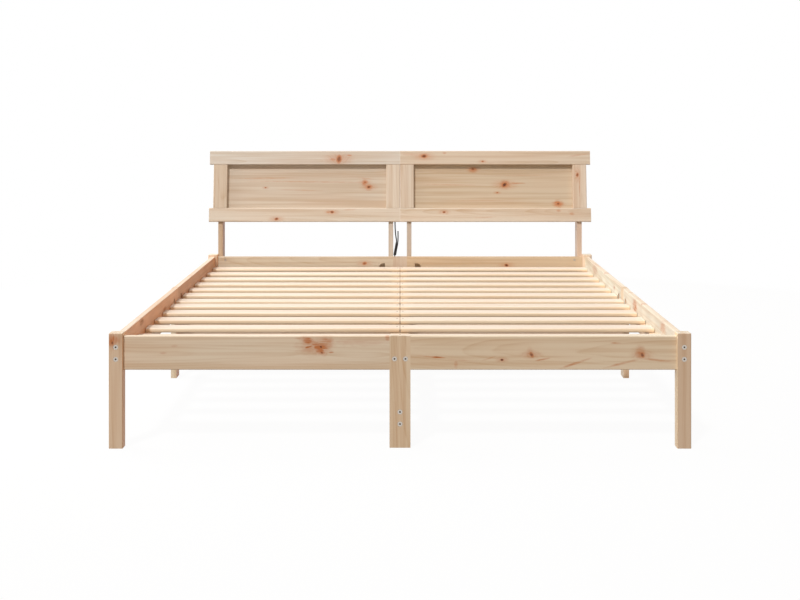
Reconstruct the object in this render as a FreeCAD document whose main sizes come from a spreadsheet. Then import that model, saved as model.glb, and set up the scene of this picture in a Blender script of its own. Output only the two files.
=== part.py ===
"""A slatted double bed in knotty pine with a leaning two-module headboard.

X runs across the bed, +Y runs from the foot to the head and Z is up. The origin is on the floor,
under the middle of the bed's box. Rails stand on the middle lines of the corner legs, each rail is
in two halves that meet at a board leg, and four posts behind the head rail carry the headboard.
A black low-voltage lead hangs between the two middle posts.
"""
import FreeCAD, Part
import Sketcher
import math
import os

Vector = FreeCAD.Vector

# Driving sizes in millimetres and degrees. Each has a cell and an alias in the sheet.
SIZES = {
    # mattress well
    "mattress_width": 1600,
    "mattress_length": 2000,
    "mattress_gap": 2.5,
    # boards, rails and legs
    "board_thick": 20,
    "board_width": 60,
    "edge_round": 3,
    "leg_side": 40,
    "leg_height": 330,
    "rail_drop": 10,
    "rail_height": 97,
    # slats, ledgers and centre beam
    "slat_drop": 41.5,
    "slat_width": 70,
    "slat_thick": 14,
    "slat_round": 5,
    "slat_play": 1.5,
    "slat_end_margin": 54.5,
    "slat_pitch_growth": 8,
    "middle_slat_shift": 15,
    "ledger_thick": 20,
    "ledger_height": 30,
    "ledger_margin": 4,
    "beam_play": 0.5,
    # headboard and its posts
    "post_depth": 70,
    "post_top_gap": 10,
    "headboard_gap": 151,
    "headboard_proud": 9,
    "headboard_lean": 7.5,
    "headboard_opening": 190,
    "headboard_seam": 0.5,
    "stile_inset": 17.5,
    "panel_thick": 12,
    "panel_lap": 20,
    "panel_play": 0.5,
    # bolts with barrel nuts
    "bolt_dia": 6,
    "bolt_play": 0.6,
    "bolt_head_dia": 14,
    "bolt_head_thick": 2.5,
    "bolt_head_sink": 3,
    "bolt_socket": 5,
    "bolt_socket_depth": 3.5,
    "bolt_tail": 12,
    "bolt_pitch": 34.5,
    "side_bolt_lift": 32,
    "end_bolt_lift": 17,
    "nut_dia": 10,
    "nut_length": 14,
    "nut_play": 0.3,
    "nut_setback": 34,
    "beam_bolt_spread": 31.4,
    "prop_bolt_height": 68,
    "post_bolt_lift": 22,
    "post_bolt_pitch": 44.5,
    "post_bolt_sink": 15,
    "post_bolt_bite": 14,
    # tie studs in their half-round pockets
    "stud_lift": 47,
    "stud_tail": 12,
    "pocket_setback": 35,
    "pocket_length": 27,
    "pocket_height": 43,
    "pocket_round": 20,
    "pocket_depth": 17,
    "washer_dia": 13,
    "washer_thick": 2,
    "hex_nut_across": 10,
    "hex_nut_thick": 5,
    # low-voltage lead
    "lead_dia": 5,
    "holder_width": 14,
    "holder_height": 18,
    "holder_depth": 11,
    "holder_lift": 21,
    "holder_offset": 22,
    "controller_width": 12,
    "controller_depth": 9,
    "controller_length": 54,
    "controller_lean": 10.5,
    "controller_round": 3,
    "controller_offset": 18,
    "controller_setback": 20,
    "controller_height": 350,
    "strand_spread": 5.8,
    "coil_inner_radius": 19.5,
    "coil_pitch": 5.6,
    "coil_dip": 1,
    "coil_tail": 24,
    "coil_descent": 40,
    "plug_length": 28,
    "plug_width": 12,
    "plug_height": 8,
    "plug_round": 2,
    "tongue_length": 13,
    "tongue_height": 4.5,
    "tongue_inset": 1,
}

# Inner points of the lead's stretches: across the bed, behind the head rail's back, above the floor.
UPPER_LEAD_POINTS = [(-20.6, 15.5, 428), (-18.2, 18.2, 405)]
SENSOR_LEAD_POINTS = [(-8.4, 20.6, 407), (-8.8, 20.2, 428)]
LOWER_LEAD_POINTS = [
    (-24.8, 19.4, 290), (-22.5, 18.0, 250), (-20.6, 16.4, 200), (-20.0, 14.6, 145), (-20.5, 12.8, 105),
    (-21.8, 11.4, 74), (-21.5, 10.6, 52), (-20.8, 10.0, 32.8), (-15.1, 9.2, 18.9), (-4.5, 8.4, 8.3),
    (9.4, 7.6, 2.6), (28, 5.2, 2.6), (50, 0.4, 2.6), (66, -1.5, 2.6),
]
COIL_START = (82, -1.5, 2.6)
UPPER_LEAD_EXIT = 26
CONTROLLER_RUN = 8
LOWER_LEAD_EXIT = 12

SLAT_ROWS = 13
COIL_TURNS_IN = 3
COIL_TURN_BACK = 0.5
COIL_TURNS_OUT = 2.5
SIDES = {"left": -1, "right": 1}
ENDS = {"foot": -1, "head": 1}

# Places on the bed, worked out from the sheet.
RAIL_IN_X = "(dims.mattress_width / 2 + dims.mattress_gap)"
RAIL_MID_X = f"({RAIL_IN_X} + dims.board_thick / 2)"
LEG_OUT_X = f"({RAIL_MID_X} + dims.leg_side / 2)"
LEG_IN_X = f"({RAIL_MID_X} - dims.leg_side / 2)"
REVEAL = "((dims.leg_side - dims.board_thick) / 2)"
MID_Y = f"(({REVEAL} - dims.post_depth) / 2)"
RAIL_IN_Y = "(dims.mattress_length / 2 + dims.mattress_gap)"
RAIL_MID_Y = f"({RAIL_IN_Y} + dims.board_thick / 2)"
LEG_IN_Y = f"({RAIL_MID_Y} - dims.leg_side / 2)"
LEG_OUT_Y = f"({RAIL_MID_Y} + dims.leg_side / 2)"
HEAD_RAIL_BACK = f"({MID_Y} + {RAIL_IN_Y} + dims.board_thick)"
HALF_BOARD = "(dims.board_width / 2)"
RAIL_TOP = "(dims.leg_height - dims.rail_drop)"
RAIL_MID_Z = f"({RAIL_TOP} - dims.rail_height / 2)"
RAIL_BOTTOM = f"({RAIL_TOP} - dims.rail_height)"
SLAT_BOTTOM = f"({RAIL_TOP} - dims.slat_drop - dims.slat_thick)"
BEAM_MID_Z = f"({SLAT_BOTTOM} - dims.board_thick / 2)"
BEAM_BOTTOM = f"({SLAT_BOTTOM} - dims.board_thick)"
CROSS_BOTTOM = f"({BEAM_BOTTOM} - dims.rail_height)"
BOLT_HOLE = "(dims.bolt_dia + dims.bolt_play)"
NUT_HOLE = "(dims.nut_dia + dims.nut_play)"
SIDE_BOLT_LOW = f"({RAIL_BOTTOM} + dims.side_bolt_lift)"
SIDE_BOLT_Z = [SIDE_BOLT_LOW, f"({SIDE_BOLT_LOW} + dims.bolt_pitch)"]
END_BOLT_Z = [f"({height} + dims.end_bolt_lift)" for height in SIDE_BOLT_Z]
CROSS_BOLT_LOW = f"({CROSS_BOTTOM} + dims.side_bolt_lift)"
CROSS_BOLT_Z = [CROSS_BOLT_LOW, f"({CROSS_BOLT_LOW} + dims.bolt_pitch)"]
PROP_BOLT_Z = ["dims.prop_bolt_height", "(dims.prop_bolt_height + dims.bolt_pitch)"]
POST_BOLT_LOW = f"({RAIL_BOTTOM} + dims.post_bolt_lift)"
POST_BOLT_Z = [POST_BOLT_LOW, f"({POST_BOLT_LOW} + dims.post_bolt_pitch)"]
STUD_Z = f"({RAIL_BOTTOM} + dims.stud_lift)"
CROSS_STUD_Z = f"({CROSS_BOTTOM} + dims.stud_lift)"
HEADBOARD_HEIGHT = "(2 * dims.board_width + dims.headboard_opening)"
HEADBOARD_Y = f"({HEAD_RAIL_BACK} - dims.headboard_proud)"
HEADBOARD_Z = f"({RAIL_TOP} + dims.headboard_gap)"

doc = FreeCAD.newDocument("double_bed")
nodes = []
bolts = []
barrel_nuts = []
tie_pieces = []


def make_sheet():
    """Write every driving size into a cell of its own, under its alias."""
    sheet = doc.addObject("Spreadsheet::Sheet", "dims")
    for row, (alias, size) in enumerate(SIZES.items(), start=1):
        cell = f"A{row}"
        sheet.set(cell, str(size))
        sheet.setAlias(cell, alias)
    doc.recompute()
    return sheet


sheet = make_sheet()


def value(expression):
    """Return the number that an expression over the sheet stands for."""
    return float(sheet.evalExpression(expression))


def signed(sign, expression):
    """Return an expression on the positive or the negative side."""
    return f"({sign} * ({expression}))"


def from_mid(sign, expression):
    """Return a place along the bed, counted from its middle line."""
    return f"({MID_Y} + {sign} * ({expression}))"


def keep(piece, label):
    """Give a finished piece its label and put it on the list of nodes."""
    piece.Label = label
    nodes.append(piece)
    return piece


def box(label, size, centre):
    """Make a box from the expressions of its size and of its centre."""
    solid = doc.addObject("Part::Box", label)
    for prop, axis, extent, middle in zip(("Length", "Width", "Height"), "xyz", size, centre):
        solid.setExpression(prop, extent)
        solid.setExpression(f"Placement.Base.{axis}", f"({middle}) - ({extent}) / 2")
    return solid


def turned_to(axis):
    """Return the rotation that lays an upright rod along an axis."""
    if axis == "x":
        return FreeCAD.Rotation(Vector(0, 1, 0), 90)
    if axis == "y":
        return FreeCAD.Rotation(Vector(1, 0, 0), -90)
    return FreeCAD.Rotation()


def rod(label, axis, diameter, length, centre, kind="Part::Cylinder"):
    """Make a rod, or a hexagonal one, along an axis about its centre."""
    solid = doc.addObject(kind, label)
    solid.Placement = FreeCAD.Placement(Vector(), turned_to(axis))
    if kind == "Part::Prism":
        solid.Polygon = 6
        solid.setExpression("Circumradius", f"({diameter}) / sqrt(3)")
    else:
        solid.setExpression("Radius", f"({diameter}) / 2")
    solid.setExpression("Height", length)
    for name, middle in zip("xyz", centre):
        back = f" - ({length}) / 2" if name == axis else ""
        solid.setExpression(f"Placement.Base.{name}", f"({middle}){back}")
    return solid


def along(edge, axis):
    """Tell whether a straight edge runs along an axis."""
    ends = [vertex.Point for vertex in edge.Vertexes]
    if len(ends) != 2:
        return False
    run = ends[1] - ends[0]
    return abs(getattr(run, axis)) > 0.999 * run.Length


def rounded(label, base, radius, chosen):
    """Round the edges of a solid that a test picks out."""
    doc.recompute()
    size = value(radius)
    edges = [
        (number, size, size) for number, edge in enumerate(base.Shape.Edges, start=1) if chosen(edge)
    ]
    fillet = doc.addObject("Part::Fillet", label)
    fillet.Base = base
    fillet.Edges = edges
    return fillet


def eased_board(label, size, centre, axis):
    """Make a board whose long edges are eased."""
    base = box(f"{label}_blank", size, centre)
    return rounded(f"{label}_eased", base, "dims.edge_round", lambda edge: along(edge, axis))


def cut(label, base, tools):
    """Take a list of tools out of a solid, where there are any."""
    if not tools:
        return base
    together = tools[0]
    if len(tools) > 1:
        together = doc.addObject("Part::MultiFuse", f"{label}_tools")
        together.Shapes = tools
    piece = doc.addObject("Part::Cut", f"{label}_cut")
    piece.Base = base
    piece.Tool = together
    return piece


def group(label, solids):
    """Keep separate solids together as one node."""
    bundle = doc.addObject("Part::Compound", f"{label}_group")
    bundle.Links = solids
    return keep(bundle, label)


def placed(axis, start, way, distance, others):
    """Return a point at a distance from a start along an axis, as three expressions."""
    point = dict(others)
    point[axis] = f"({start} + {way} * ({distance}))"
    return [point[name] for name in "xyz"]


class Bolt:
    """A socket-head bolt through one piece into a barrel nut in the next.

    The bolt starts at an outer face and runs along one axis. Its place on the other two axes is
    given by expressions.
    """

    def __init__(self, label, axis, face, way, others, through, nut_axis=None, nut_way=1,
                 sink="dims.bolt_head_sink"):
        self.label = label
        self.axis = axis
        self.face = face
        self.way = way
        self.others = others
        self.through = through
        self.nut_axis = nut_axis
        self.nut_way = nut_way
        self.sink = sink
        self.nut_place = f"({through} + dims.nut_setback)"
        bite = f"{self.nut_place} + dims.bolt_tail" if nut_axis else f"{through} + dims.post_bolt_bite"
        self.tip = f"({bite})"

    def at(self, distance):
        """Return the point on the bolt's line at a distance inside the outer face."""
        return placed(self.axis, self.face, self.way, distance, self.others)

    def span(self, name, diameter, first, last, kind="Part::Cylinder"):
        """Make a rod on the bolt's line between two distances."""
        length = f"({last}) - ({first})"
        centre = self.at(f"(({first}) + ({last})) / 2")
        return rod(f"{self.label}_{name}", self.axis, diameter, length, centre, kind)

    def leg_tools(self):
        """Return the hole and the counterbore in the outer piece."""
        bore = "(dims.bolt_head_dia + dims.bolt_play)"
        return [
            self.span("hole", BOLT_HOLE, "0", self.through),
            self.span("counterbore", bore, "0", self.sink),
        ]

    def rail_tools(self):
        """Return the hole in the inner piece and the blind cross hole that the nut goes in by."""
        tools = [self.span("bite", BOLT_HOLE, self.through, f"{self.tip} + dims.bolt_play")]
        if self.nut_axis:
            beyond = "((dims.nut_length + dims.nut_play) / 2)"
            length = f"(dims.board_thick / 2 + {beyond})"
            spot = dict(zip("xyz", self.at(self.nut_place)))
            aside = f"(dims.board_thick / 2 - {beyond}) / 2"
            centre = placed(self.nut_axis, spot[self.nut_axis], self.nut_way, aside, spot)
            tools.append(rod(f"{self.label}_seat", self.nut_axis, NUT_HOLE, length, centre))
        return tools

    def build(self):
        """Make the bolt and its nut."""
        head_top = f"({self.sink} - dims.bolt_head_thick)"
        shank = self.span("shank", "dims.bolt_dia", head_top, self.tip)
        head = self.span("head", "dims.bolt_head_dia", head_top, self.sink)
        body = doc.addObject("Part::Fuse", f"{self.label}_body")
        body.Base = head
        body.Tool = shank
        socket_end = f"({head_top} + dims.bolt_socket_depth)"
        socket = self.span("socket", "dims.bolt_socket", head_top, socket_end, "Part::Prism")
        bolts.append(cut(self.label, body, [socket]))
        if self.nut_axis:
            centre = self.at(self.nut_place)
            nut = rod(f"{self.label}_nut", self.nut_axis, "dims.nut_dia", "dims.nut_length", centre)
            thread = rod(f"{self.label}_thread", self.axis, "dims.bolt_dia + dims.nut_play",
                         "2 * dims.nut_dia", centre)
            barrel_nuts.append(cut(f"{self.label}_nut", nut, [thread]))


class Tie:
    """A stud through a board leg, with a washer and a nut in a pocket of each rail half."""

    def __init__(self, label, axis, middle, others):
        self.label = label
        self.axis = axis
        self.middle = middle
        self.others = others
        self.flat = f"({HALF_BOARD} + dims.pocket_setback)"

    def span(self, name, way, diameter, first, last, kind="Part::Cylinder"):
        """Make a rod on the stud's line between two distances from its middle."""
        centre = placed(self.axis, self.middle, way, f"(({first}) + ({last})) / 2", self.others)
        return rod(f"{self.label}_{name}", self.axis, diameter, f"({last}) - ({first})", centre, kind)

    def leg_tools(self):
        """Return the stud's hole through the board leg."""
        return [self.span("leg_hole", 1, BOLT_HOLE, f"-{HALF_BOARD}", HALF_BOARD)]

    def rail_tools(self, way, depth_axis, inner_face, inward):
        """Return the stud's hole in a rail half and the pocket that opens on its inner face."""
        hole = self.span(f"hole{way}", way, BOLT_HOLE, HALF_BOARD, f"{self.flat} + dims.bolt_play")
        size = {self.axis: "dims.pocket_length", depth_axis: "dims.pocket_depth", "z": "dims.pocket_height"}
        centre = dict(self.others)
        centre[self.axis] = f"({self.middle} + {way} * ({self.flat} + dims.pocket_length / 2))"
        centre[depth_axis] = f"({inner_face} - {inward} * dims.pocket_depth / 2)"
        name = f"{self.label}_pocket{way}"
        blank = box(name, [size[key] for key in "xyz"], [centre[key] for key in "xyz"])
        middle = value(centre[self.axis])

        def far_edge(edge):
            """Pick the two edges along the depth on the far side of the pocket."""
            return along(edge, depth_axis) and way * (getattr(edge.CenterOfMass, self.axis) - middle) > 0

        return [hole, rounded(f"{name}_rounded", blank, "dims.pocket_round", far_edge)]

    def build(self):
        """Make the stud, the two washers and the two nuts."""
        half = f"({self.flat} + dims.stud_tail)"
        tie_pieces.append(self.span("stud", 1, "dims.bolt_dia", f"-{half}", half))
        washer_end = f"({self.flat} + dims.washer_thick)"
        nut_end = f"({washer_end} + dims.hex_nut_thick)"
        for way in (-1, 1):
            washer = self.span(f"washer{way}", way, "dims.washer_dia", self.flat, washer_end)
            nut = self.span(f"nut{way}", way, "dims.hex_nut_across", washer_end, nut_end, "Part::Prism")
            for name, solid in (("washer", washer), ("nut", nut)):
                bore = self.span(f"{name}_bore{way}", way, "dims.bolt_dia + dims.nut_play",
                                 self.flat, nut_end)
                tie_pieces.append(cut(f"{self.label}_{name}{way}", solid, [bore]))


def corner_bolts(side, end):
    """Return a corner leg's bolts into the side rail and into the end rail."""
    sx = SIDES[side]
    sy = ENDS[end]
    leg_x = signed(sx, RAIL_MID_X)
    leg_y = from_mid(sy, RAIL_MID_Y)
    into_side = [
        Bolt(f"{end}_{side}_bolt_y{number}", "y", from_mid(sy, LEG_OUT_Y), -sy, {"x": leg_x, "z": height},
             "dims.leg_side", "x", -sx)
        for number, height in enumerate(SIDE_BOLT_Z)
    ]
    into_end = [
        Bolt(f"{end}_{side}_bolt_x{number}", "x", signed(sx, LEG_OUT_X), -sx, {"y": leg_y, "z": height},
             "dims.leg_side", "y", -sy)
        for number, height in enumerate(END_BOLT_Z)
    ]
    return into_side, into_end


def tools_of(fasteners, part):
    """Return all the tools that a list of fasteners needs in the outer or the inner piece."""
    tools = []
    for fastener in fasteners:
        tools += fastener.leg_tools() if part == "leg" else fastener.rail_tools()
    return tools


def make_corner_leg(side, end, into_side, into_end):
    """Make a square leg with its top and upright edges eased, drilled for both rails."""
    label = f"{end}_{side}_leg"
    size = ["dims.leg_side", "dims.leg_side", "dims.leg_height"]
    centre = [signed(SIDES[side], RAIL_MID_X), from_mid(ENDS[end], RAIL_MID_Y), "dims.leg_height / 2"]
    blank = box(f"{label}_blank", size, centre)
    top = value("dims.leg_height")
    eased = rounded(f"{label}_eased", blank, "dims.edge_round",
                    lambda edge: along(edge, "z") or edge.CenterOfMass.z > 0.999 * top)
    keep(cut(label, eased, tools_of(into_side + into_end, "leg")), label)


def make_end_rail(side, end, bolts_in, tie):
    """Make half of the foot or head rail, from a corner leg to the centre leg."""
    sx = SIDES[side]
    sy = ENDS[end]
    label = f"{end}_{side}_rail"
    size = [f"({LEG_IN_X} - {HALF_BOARD})", "dims.board_thick", "dims.rail_height"]
    centre = [signed(sx, f"({LEG_IN_X} + {HALF_BOARD}) / 2"), from_mid(sy, RAIL_MID_Y), RAIL_MID_Z]
    tools = tools_of(bolts_in, "rail")
    tools += tie.rail_tools(sx, "y", from_mid(sy, RAIL_IN_Y), -sy)
    if end == "head":
        for post_x in (f"({LEG_IN_X} - dims.board_thick / 2)", f"({HALF_BOARD} + dims.board_thick / 2)"):
            tools += tools_of(post_bolts(label, signed(sx, post_x)), "rail")
    keep(cut(label, eased_board(label, size, centre, "x"), tools), label)


def make_side_rail(side, end, bolts_in, tie):
    """Make half of a side rail, from a corner leg to the middle leg."""
    sx = SIDES[side]
    sy = ENDS[end]
    label = f"{side}_{end}_side_rail"
    size = ["dims.board_thick", f"({LEG_IN_Y} - {HALF_BOARD})", "dims.rail_height"]
    centre = [signed(sx, RAIL_MID_X), from_mid(sy, f"({LEG_IN_Y} + {HALF_BOARD}) / 2"), RAIL_MID_Z]
    tools = tools_of(bolts_in, "rail")
    tools += tie.rail_tools(sy, "x", signed(sx, RAIL_IN_X), -sx)
    keep(cut(label, eased_board(label, size, centre, "y"), tools), label)


def cross_bolts(side):
    """Return a middle leg's bolts into the end of the cross rail."""
    sx = SIDES[side]
    face = signed(sx, f"{RAIL_IN_X} + dims.board_thick")
    return [
        Bolt(f"{side}_cross_bolt{number}", "x", face, -sx, {"y": MID_Y, "z": height},
             "dims.board_thick", "y")
        for number, height in enumerate(CROSS_BOLT_Z)
    ]


def make_middle_leg(side, tie, into_cross):
    """Make the board leg between the two halves of a side rail, drilled for the cross rail."""
    label = f"{side}_middle_leg"
    size = ["dims.board_thick", "dims.board_width", RAIL_TOP]
    centre = [signed(SIDES[side], RAIL_MID_X), MID_Y, f"{RAIL_TOP} / 2"]
    tools = tie.leg_tools() + tools_of(into_cross, "leg")
    keep(cut(label, box(f"{label}_blank", size, centre), tools), label)


def beam_bolts(end):
    """Return the centre leg's bolts into the beam's end and into the prop."""
    sy = ENDS[end]
    face = from_mid(sy, f"{RAIL_IN_Y} + dims.board_thick")
    into_beam = [
        Bolt(f"{end}_beam_bolt{number}", "y", face, -sy,
             {"x": signed(sx, "dims.beam_bolt_spread / 2"), "z": BEAM_MID_Z}, "dims.board_thick", "z", -1)
        for number, sx in enumerate((-1, 1))
    ]
    into_prop = [
        Bolt(f"{end}_prop_bolt{number}", "y", face, -sy, {"x": "0", "z": height}, "dims.board_thick", "x")
        for number, height in enumerate(PROP_BOLT_Z)
    ]
    return into_beam, into_prop


def make_centre_leg(end, tie, into_beam, into_prop):
    """Make the board leg between the two halves of the foot or head rail."""
    label = f"{end}_centre_leg"
    size = ["dims.board_width", "dims.board_thick", RAIL_TOP]
    centre = ["0", from_mid(ENDS[end], RAIL_MID_Y), f"{RAIL_TOP} / 2"]
    tools = tie.leg_tools() + tools_of(into_beam + into_prop, "leg")
    keep(cut(label, box(f"{label}_blank", size, centre), tools), label)


def make_prop(end, into_prop):
    """Make the upright board behind a centre leg, on edge under the beam's end."""
    label = f"{end}_prop"
    size = ["dims.board_thick", "dims.board_width", BEAM_BOTTOM]
    centre = ["0", from_mid(ENDS[end], f"{RAIL_IN_Y} - {HALF_BOARD}"), f"{BEAM_BOTTOM} / 2"]
    keep(cut(label, eased_board(label, size, centre, "z"), tools_of(into_prop, "rail")), label)


def make_beam(end, into_beam):
    """Make half of the flat beam under the inner ends of the slats."""
    label = f"{end}_centre_beam"
    size = ["dims.board_width", f"({RAIL_IN_Y} - dims.beam_play / 2)", "dims.board_thick"]
    centre = ["0", from_mid(ENDS[end], f"({RAIL_IN_Y} + dims.beam_play / 2) / 2"), BEAM_MID_Z]
    keep(cut(label, eased_board(label, size, centre, "y"), tools_of(into_beam, "rail")), label)


def make_beam_leg(tie, into_cross):
    """Make the board leg under the beam's joint and the two cross rails from it to the middle legs."""
    size = ["dims.board_width", "dims.board_thick", BEAM_BOTTOM]
    blank = box("beam_leg_blank", size, ["0", MID_Y, f"{BEAM_BOTTOM} / 2"])
    pieces = [cut("beam_leg", blank, tie.leg_tools())]
    for side, sx in SIDES.items():
        label = f"{side}_cross_rail"
        size = [f"({RAIL_IN_X} - {HALF_BOARD})", "dims.board_thick", "dims.rail_height"]
        centre = [signed(sx, f"({RAIL_IN_X} + {HALF_BOARD}) / 2"), MID_Y,
                  f"({CROSS_BOTTOM} + dims.rail_height / 2)"]
        tools = tools_of(into_cross[side], "rail")
        tools += tie.rail_tools(sx, "y", f"({MID_Y} + dims.board_thick / 2)", 1)
        pieces.append(cut(label, eased_board(label, size, centre, "x"), tools))
    group("beam_leg", pieces)


def make_ledgers(side):
    """Make a side's two ledger strips, clear of the nuts, and the short one on the cross rail."""
    sx = SIDES[side]
    label = f"{side}_ledgers"
    x = signed(sx, f"{RAIL_IN_X} - dims.ledger_thick / 2")
    z = f"{SLAT_BOTTOM} - dims.ledger_height / 2"
    inner = f"({HALF_BOARD} + dims.pocket_setback + dims.pocket_length + dims.ledger_margin)"
    strips = [box(f"{label}_middle", ["dims.ledger_thick", "dims.board_width", "dims.board_thick"],
                  [x, MID_Y, BEAM_MID_Z])]
    outer = f"({LEG_IN_Y} - dims.nut_setback - {NUT_HOLE} / 2 - dims.ledger_margin)"
    for end, sy in ENDS.items():
        size = ["dims.ledger_thick", f"({outer} - {inner})", "dims.ledger_height"]
        strips.append(box(f"{label}_{end}", size, [x, from_mid(sy, f"({outer} + {inner}) / 2"), z]))
    group(label, strips)


def make_slats():
    """Make the rows of half slats, further apart towards the ends, the middle row nearer the foot."""
    middle_row = (SLAT_ROWS + 1) // 2
    steps = SLAT_ROWS - middle_row
    growth = steps * (steps - 1) // 2
    pitch = f"(({RAIL_IN_Y} - dims.slat_end_margin - {growth} * dims.slat_pitch_growth) / {steps})"
    length = f"({RAIL_IN_X} - 2 * dims.slat_play)"
    for row in range(1, SLAT_ROWS + 1):
        step = abs(row - middle_row)
        way = 1 if row > middle_row else -1
        spread = f"{step} * {pitch} + {step * (step - 1) // 2} * dims.slat_pitch_growth"
        place = from_mid(way, spread if step else "dims.middle_slat_shift")
        label = f"slat_row_{row:02d}"
        halves = []
        for side, sx in SIDES.items():
            centre = [signed(sx, f"{RAIL_IN_X} / 2"), place,
                      f"{SLAT_BOTTOM} + dims.slat_thick / 2"]
            blank = box(f"{label}_{side}", [length, "dims.slat_width", "dims.slat_thick"], centre)
            halves.append(rounded(f"{label}_{side}_rounded", blank, "dims.slat_round",
                                  lambda edge: along(edge, "x")))
        group(label, halves)


def lean(piece):
    """Lean a headboard piece back about the lower front edge of the headboard."""
    backwards = FreeCAD.Rotation(Vector(-1, 0, 0), value("dims.headboard_lean"))
    piece.Placement = FreeCAD.Placement(Vector(), backwards)
    piece.setExpression("Placement.Rotation.Angle", "dims.headboard_lean")
    piece.setExpression("Placement.Base.y", HEADBOARD_Y)
    piece.setExpression("Placement.Base.z", HEADBOARD_Z)


def make_headboard_board(label, side, span, rise, axis):
    """Make a headboard board upright on the front plane, between two places, then lean it."""
    first, last = span
    low, high = rise
    size = [f"(({last}) - ({first}))", "dims.board_thick", f"(({high}) - ({low}))"]
    centre = [signed(SIDES[side], f"(({first}) + ({last})) / 2"), "dims.board_thick / 2",
              f"(({low}) + ({high})) / 2"]
    piece = eased_board(label, size, centre, axis)
    lean(piece)
    keep(piece, label)


def make_headboard_module(side):
    """Make one of the two headboard modules: two boards, two stiles and a panel."""
    half_seam = "dims.headboard_seam / 2"
    full = (half_seam, LEG_OUT_X)
    opening = ("dims.board_width", "(dims.board_width + dims.headboard_opening)")
    make_headboard_board(f"{side}_bottom_board", side, full, ("0", "dims.board_width"), "x")
    make_headboard_board(f"{side}_top_board", side, full, (opening[1], HEADBOARD_HEIGHT), "x")
    outer = f"({LEG_OUT_X} - dims.stile_inset)"
    make_headboard_board(f"{side}_outer_stile", side, (f"({outer} - dims.board_width)", outer), opening, "z")
    inner = (half_seam, f"({half_seam} + dims.board_width)")
    make_headboard_board(f"{side}_inner_stile", side, inner, opening, "z")
    label = f"{side}_panel"
    first = f"({HALF_BOARD} + dims.board_thick + dims.panel_play)"
    last = f"({LEG_IN_X} - dims.board_thick - dims.panel_play)"
    size = [f"({last} - {first})", "dims.panel_thick", "(dims.headboard_opening + 2 * dims.panel_lap)"]
    centre = [signed(SIDES[side], f"({first} + {last}) / 2"), "dims.board_thick + dims.panel_thick / 2",
              f"{HEADBOARD_HEIGHT} / 2"]
    panel = eased_board(label, size, centre, "x")
    lean(panel)
    keep(panel, label)


def post_bolts(owner, x):
    """Return the two bolts that hold a post to the back of the head rail."""
    face = f"({HEAD_RAIL_BACK} + dims.post_depth)"
    return [
        Bolt(f"{owner}_post_bolt{number}", "y", face, -1, {"x": x, "z": height}, "dims.post_depth",
             sink="dims.post_bolt_sink")
        for number, height in enumerate(POST_BOLT_Z)
    ]


def post_sketch(body):
    """Draw a post's outline: upright front to the shoulder, then sloped along the boards' back."""
    sine = "sin(dims.headboard_lean * 1 deg)"
    cosine = "cos(dims.headboard_lean * 1 deg)"
    seat_y = f"(dims.board_thick * {cosine} - dims.headboard_proud)"
    seat_z = f"({HEADBOARD_Z} - dims.board_thick * {sine} - {RAIL_BOTTOM})"
    slope = f"({HEADBOARD_HEIGHT} - dims.post_top_gap)"
    top_z = f"({seat_z} + {slope} * {cosine})"
    outline = [
        ("0", "0"), ("dims.post_depth", "0"), ("dims.post_depth", top_z),
        (f"({seat_y} + {slope} * {sine})", top_z), (seat_y, seat_z), ("0", seat_z),
    ]
    sketch = body.newObject("Sketcher::SketchObject", f"{body.Name}_outline")
    plane = next(item for item in body.Origin.OriginFeatures if item.Role == "YZ_Plane")
    sketch.AttachmentSupport = [(plane, "")]
    sketch.MapMode = "FlatFace"
    corners = [Vector(value(across), value(up), 0) for across, up in outline]
    count = len(corners)
    for index in range(count):
        sketch.addGeometry(Part.LineSegment(corners[index], corners[(index + 1) % count]), False)
    for index in range(count):
        sketch.addConstraint(Sketcher.Constraint("Coincident", index, 2, (index + 1) % count, 1))
    sketch.addConstraint(Sketcher.Constraint("Coincident", 0, 1, -1, 1))
    for index in range(1, count):
        for kind, expression in zip(("DistanceX", "DistanceY"), outline[index]):
            if expression == "0":
                flat = "PointOnObject"
                axis = -1 if kind == "DistanceY" else -2
                sketch.addConstraint(Sketcher.Constraint(flat, index, 1, axis))
                continue
            number = sketch.addConstraint(Sketcher.Constraint(kind, -1, 1, index, 1, value(expression)))
            sketch.renameConstraint(number, f"{kind}{index}")
            sketch.setExpression(f"Constraints.{kind}{index}", expression)
    return sketch


def make_post(label, x):
    """Make a post on edge behind the head rail, drilled for its two bolts."""
    body = doc.addObject("PartDesign::Body", f"{label}_body")
    sketch = post_sketch(body)
    pad = body.newObject("PartDesign::Pad", f"{label}_pad")
    pad.Profile = sketch
    pad.SideType = "Symmetric"
    pad.setExpression("Length", "dims.board_thick")
    sketch.Visibility = False
    body.setExpression("Placement.Base.x", x)
    body.setExpression("Placement.Base.y", HEAD_RAIL_BACK)
    body.setExpression("Placement.Base.z", RAIL_BOTTOM)
    fasteners = post_bolts(label, x)
    for fastener in fasteners:
        fastener.build()
    keep(cut(label, body, tools_of(fasteners, "leg")), label)


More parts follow.
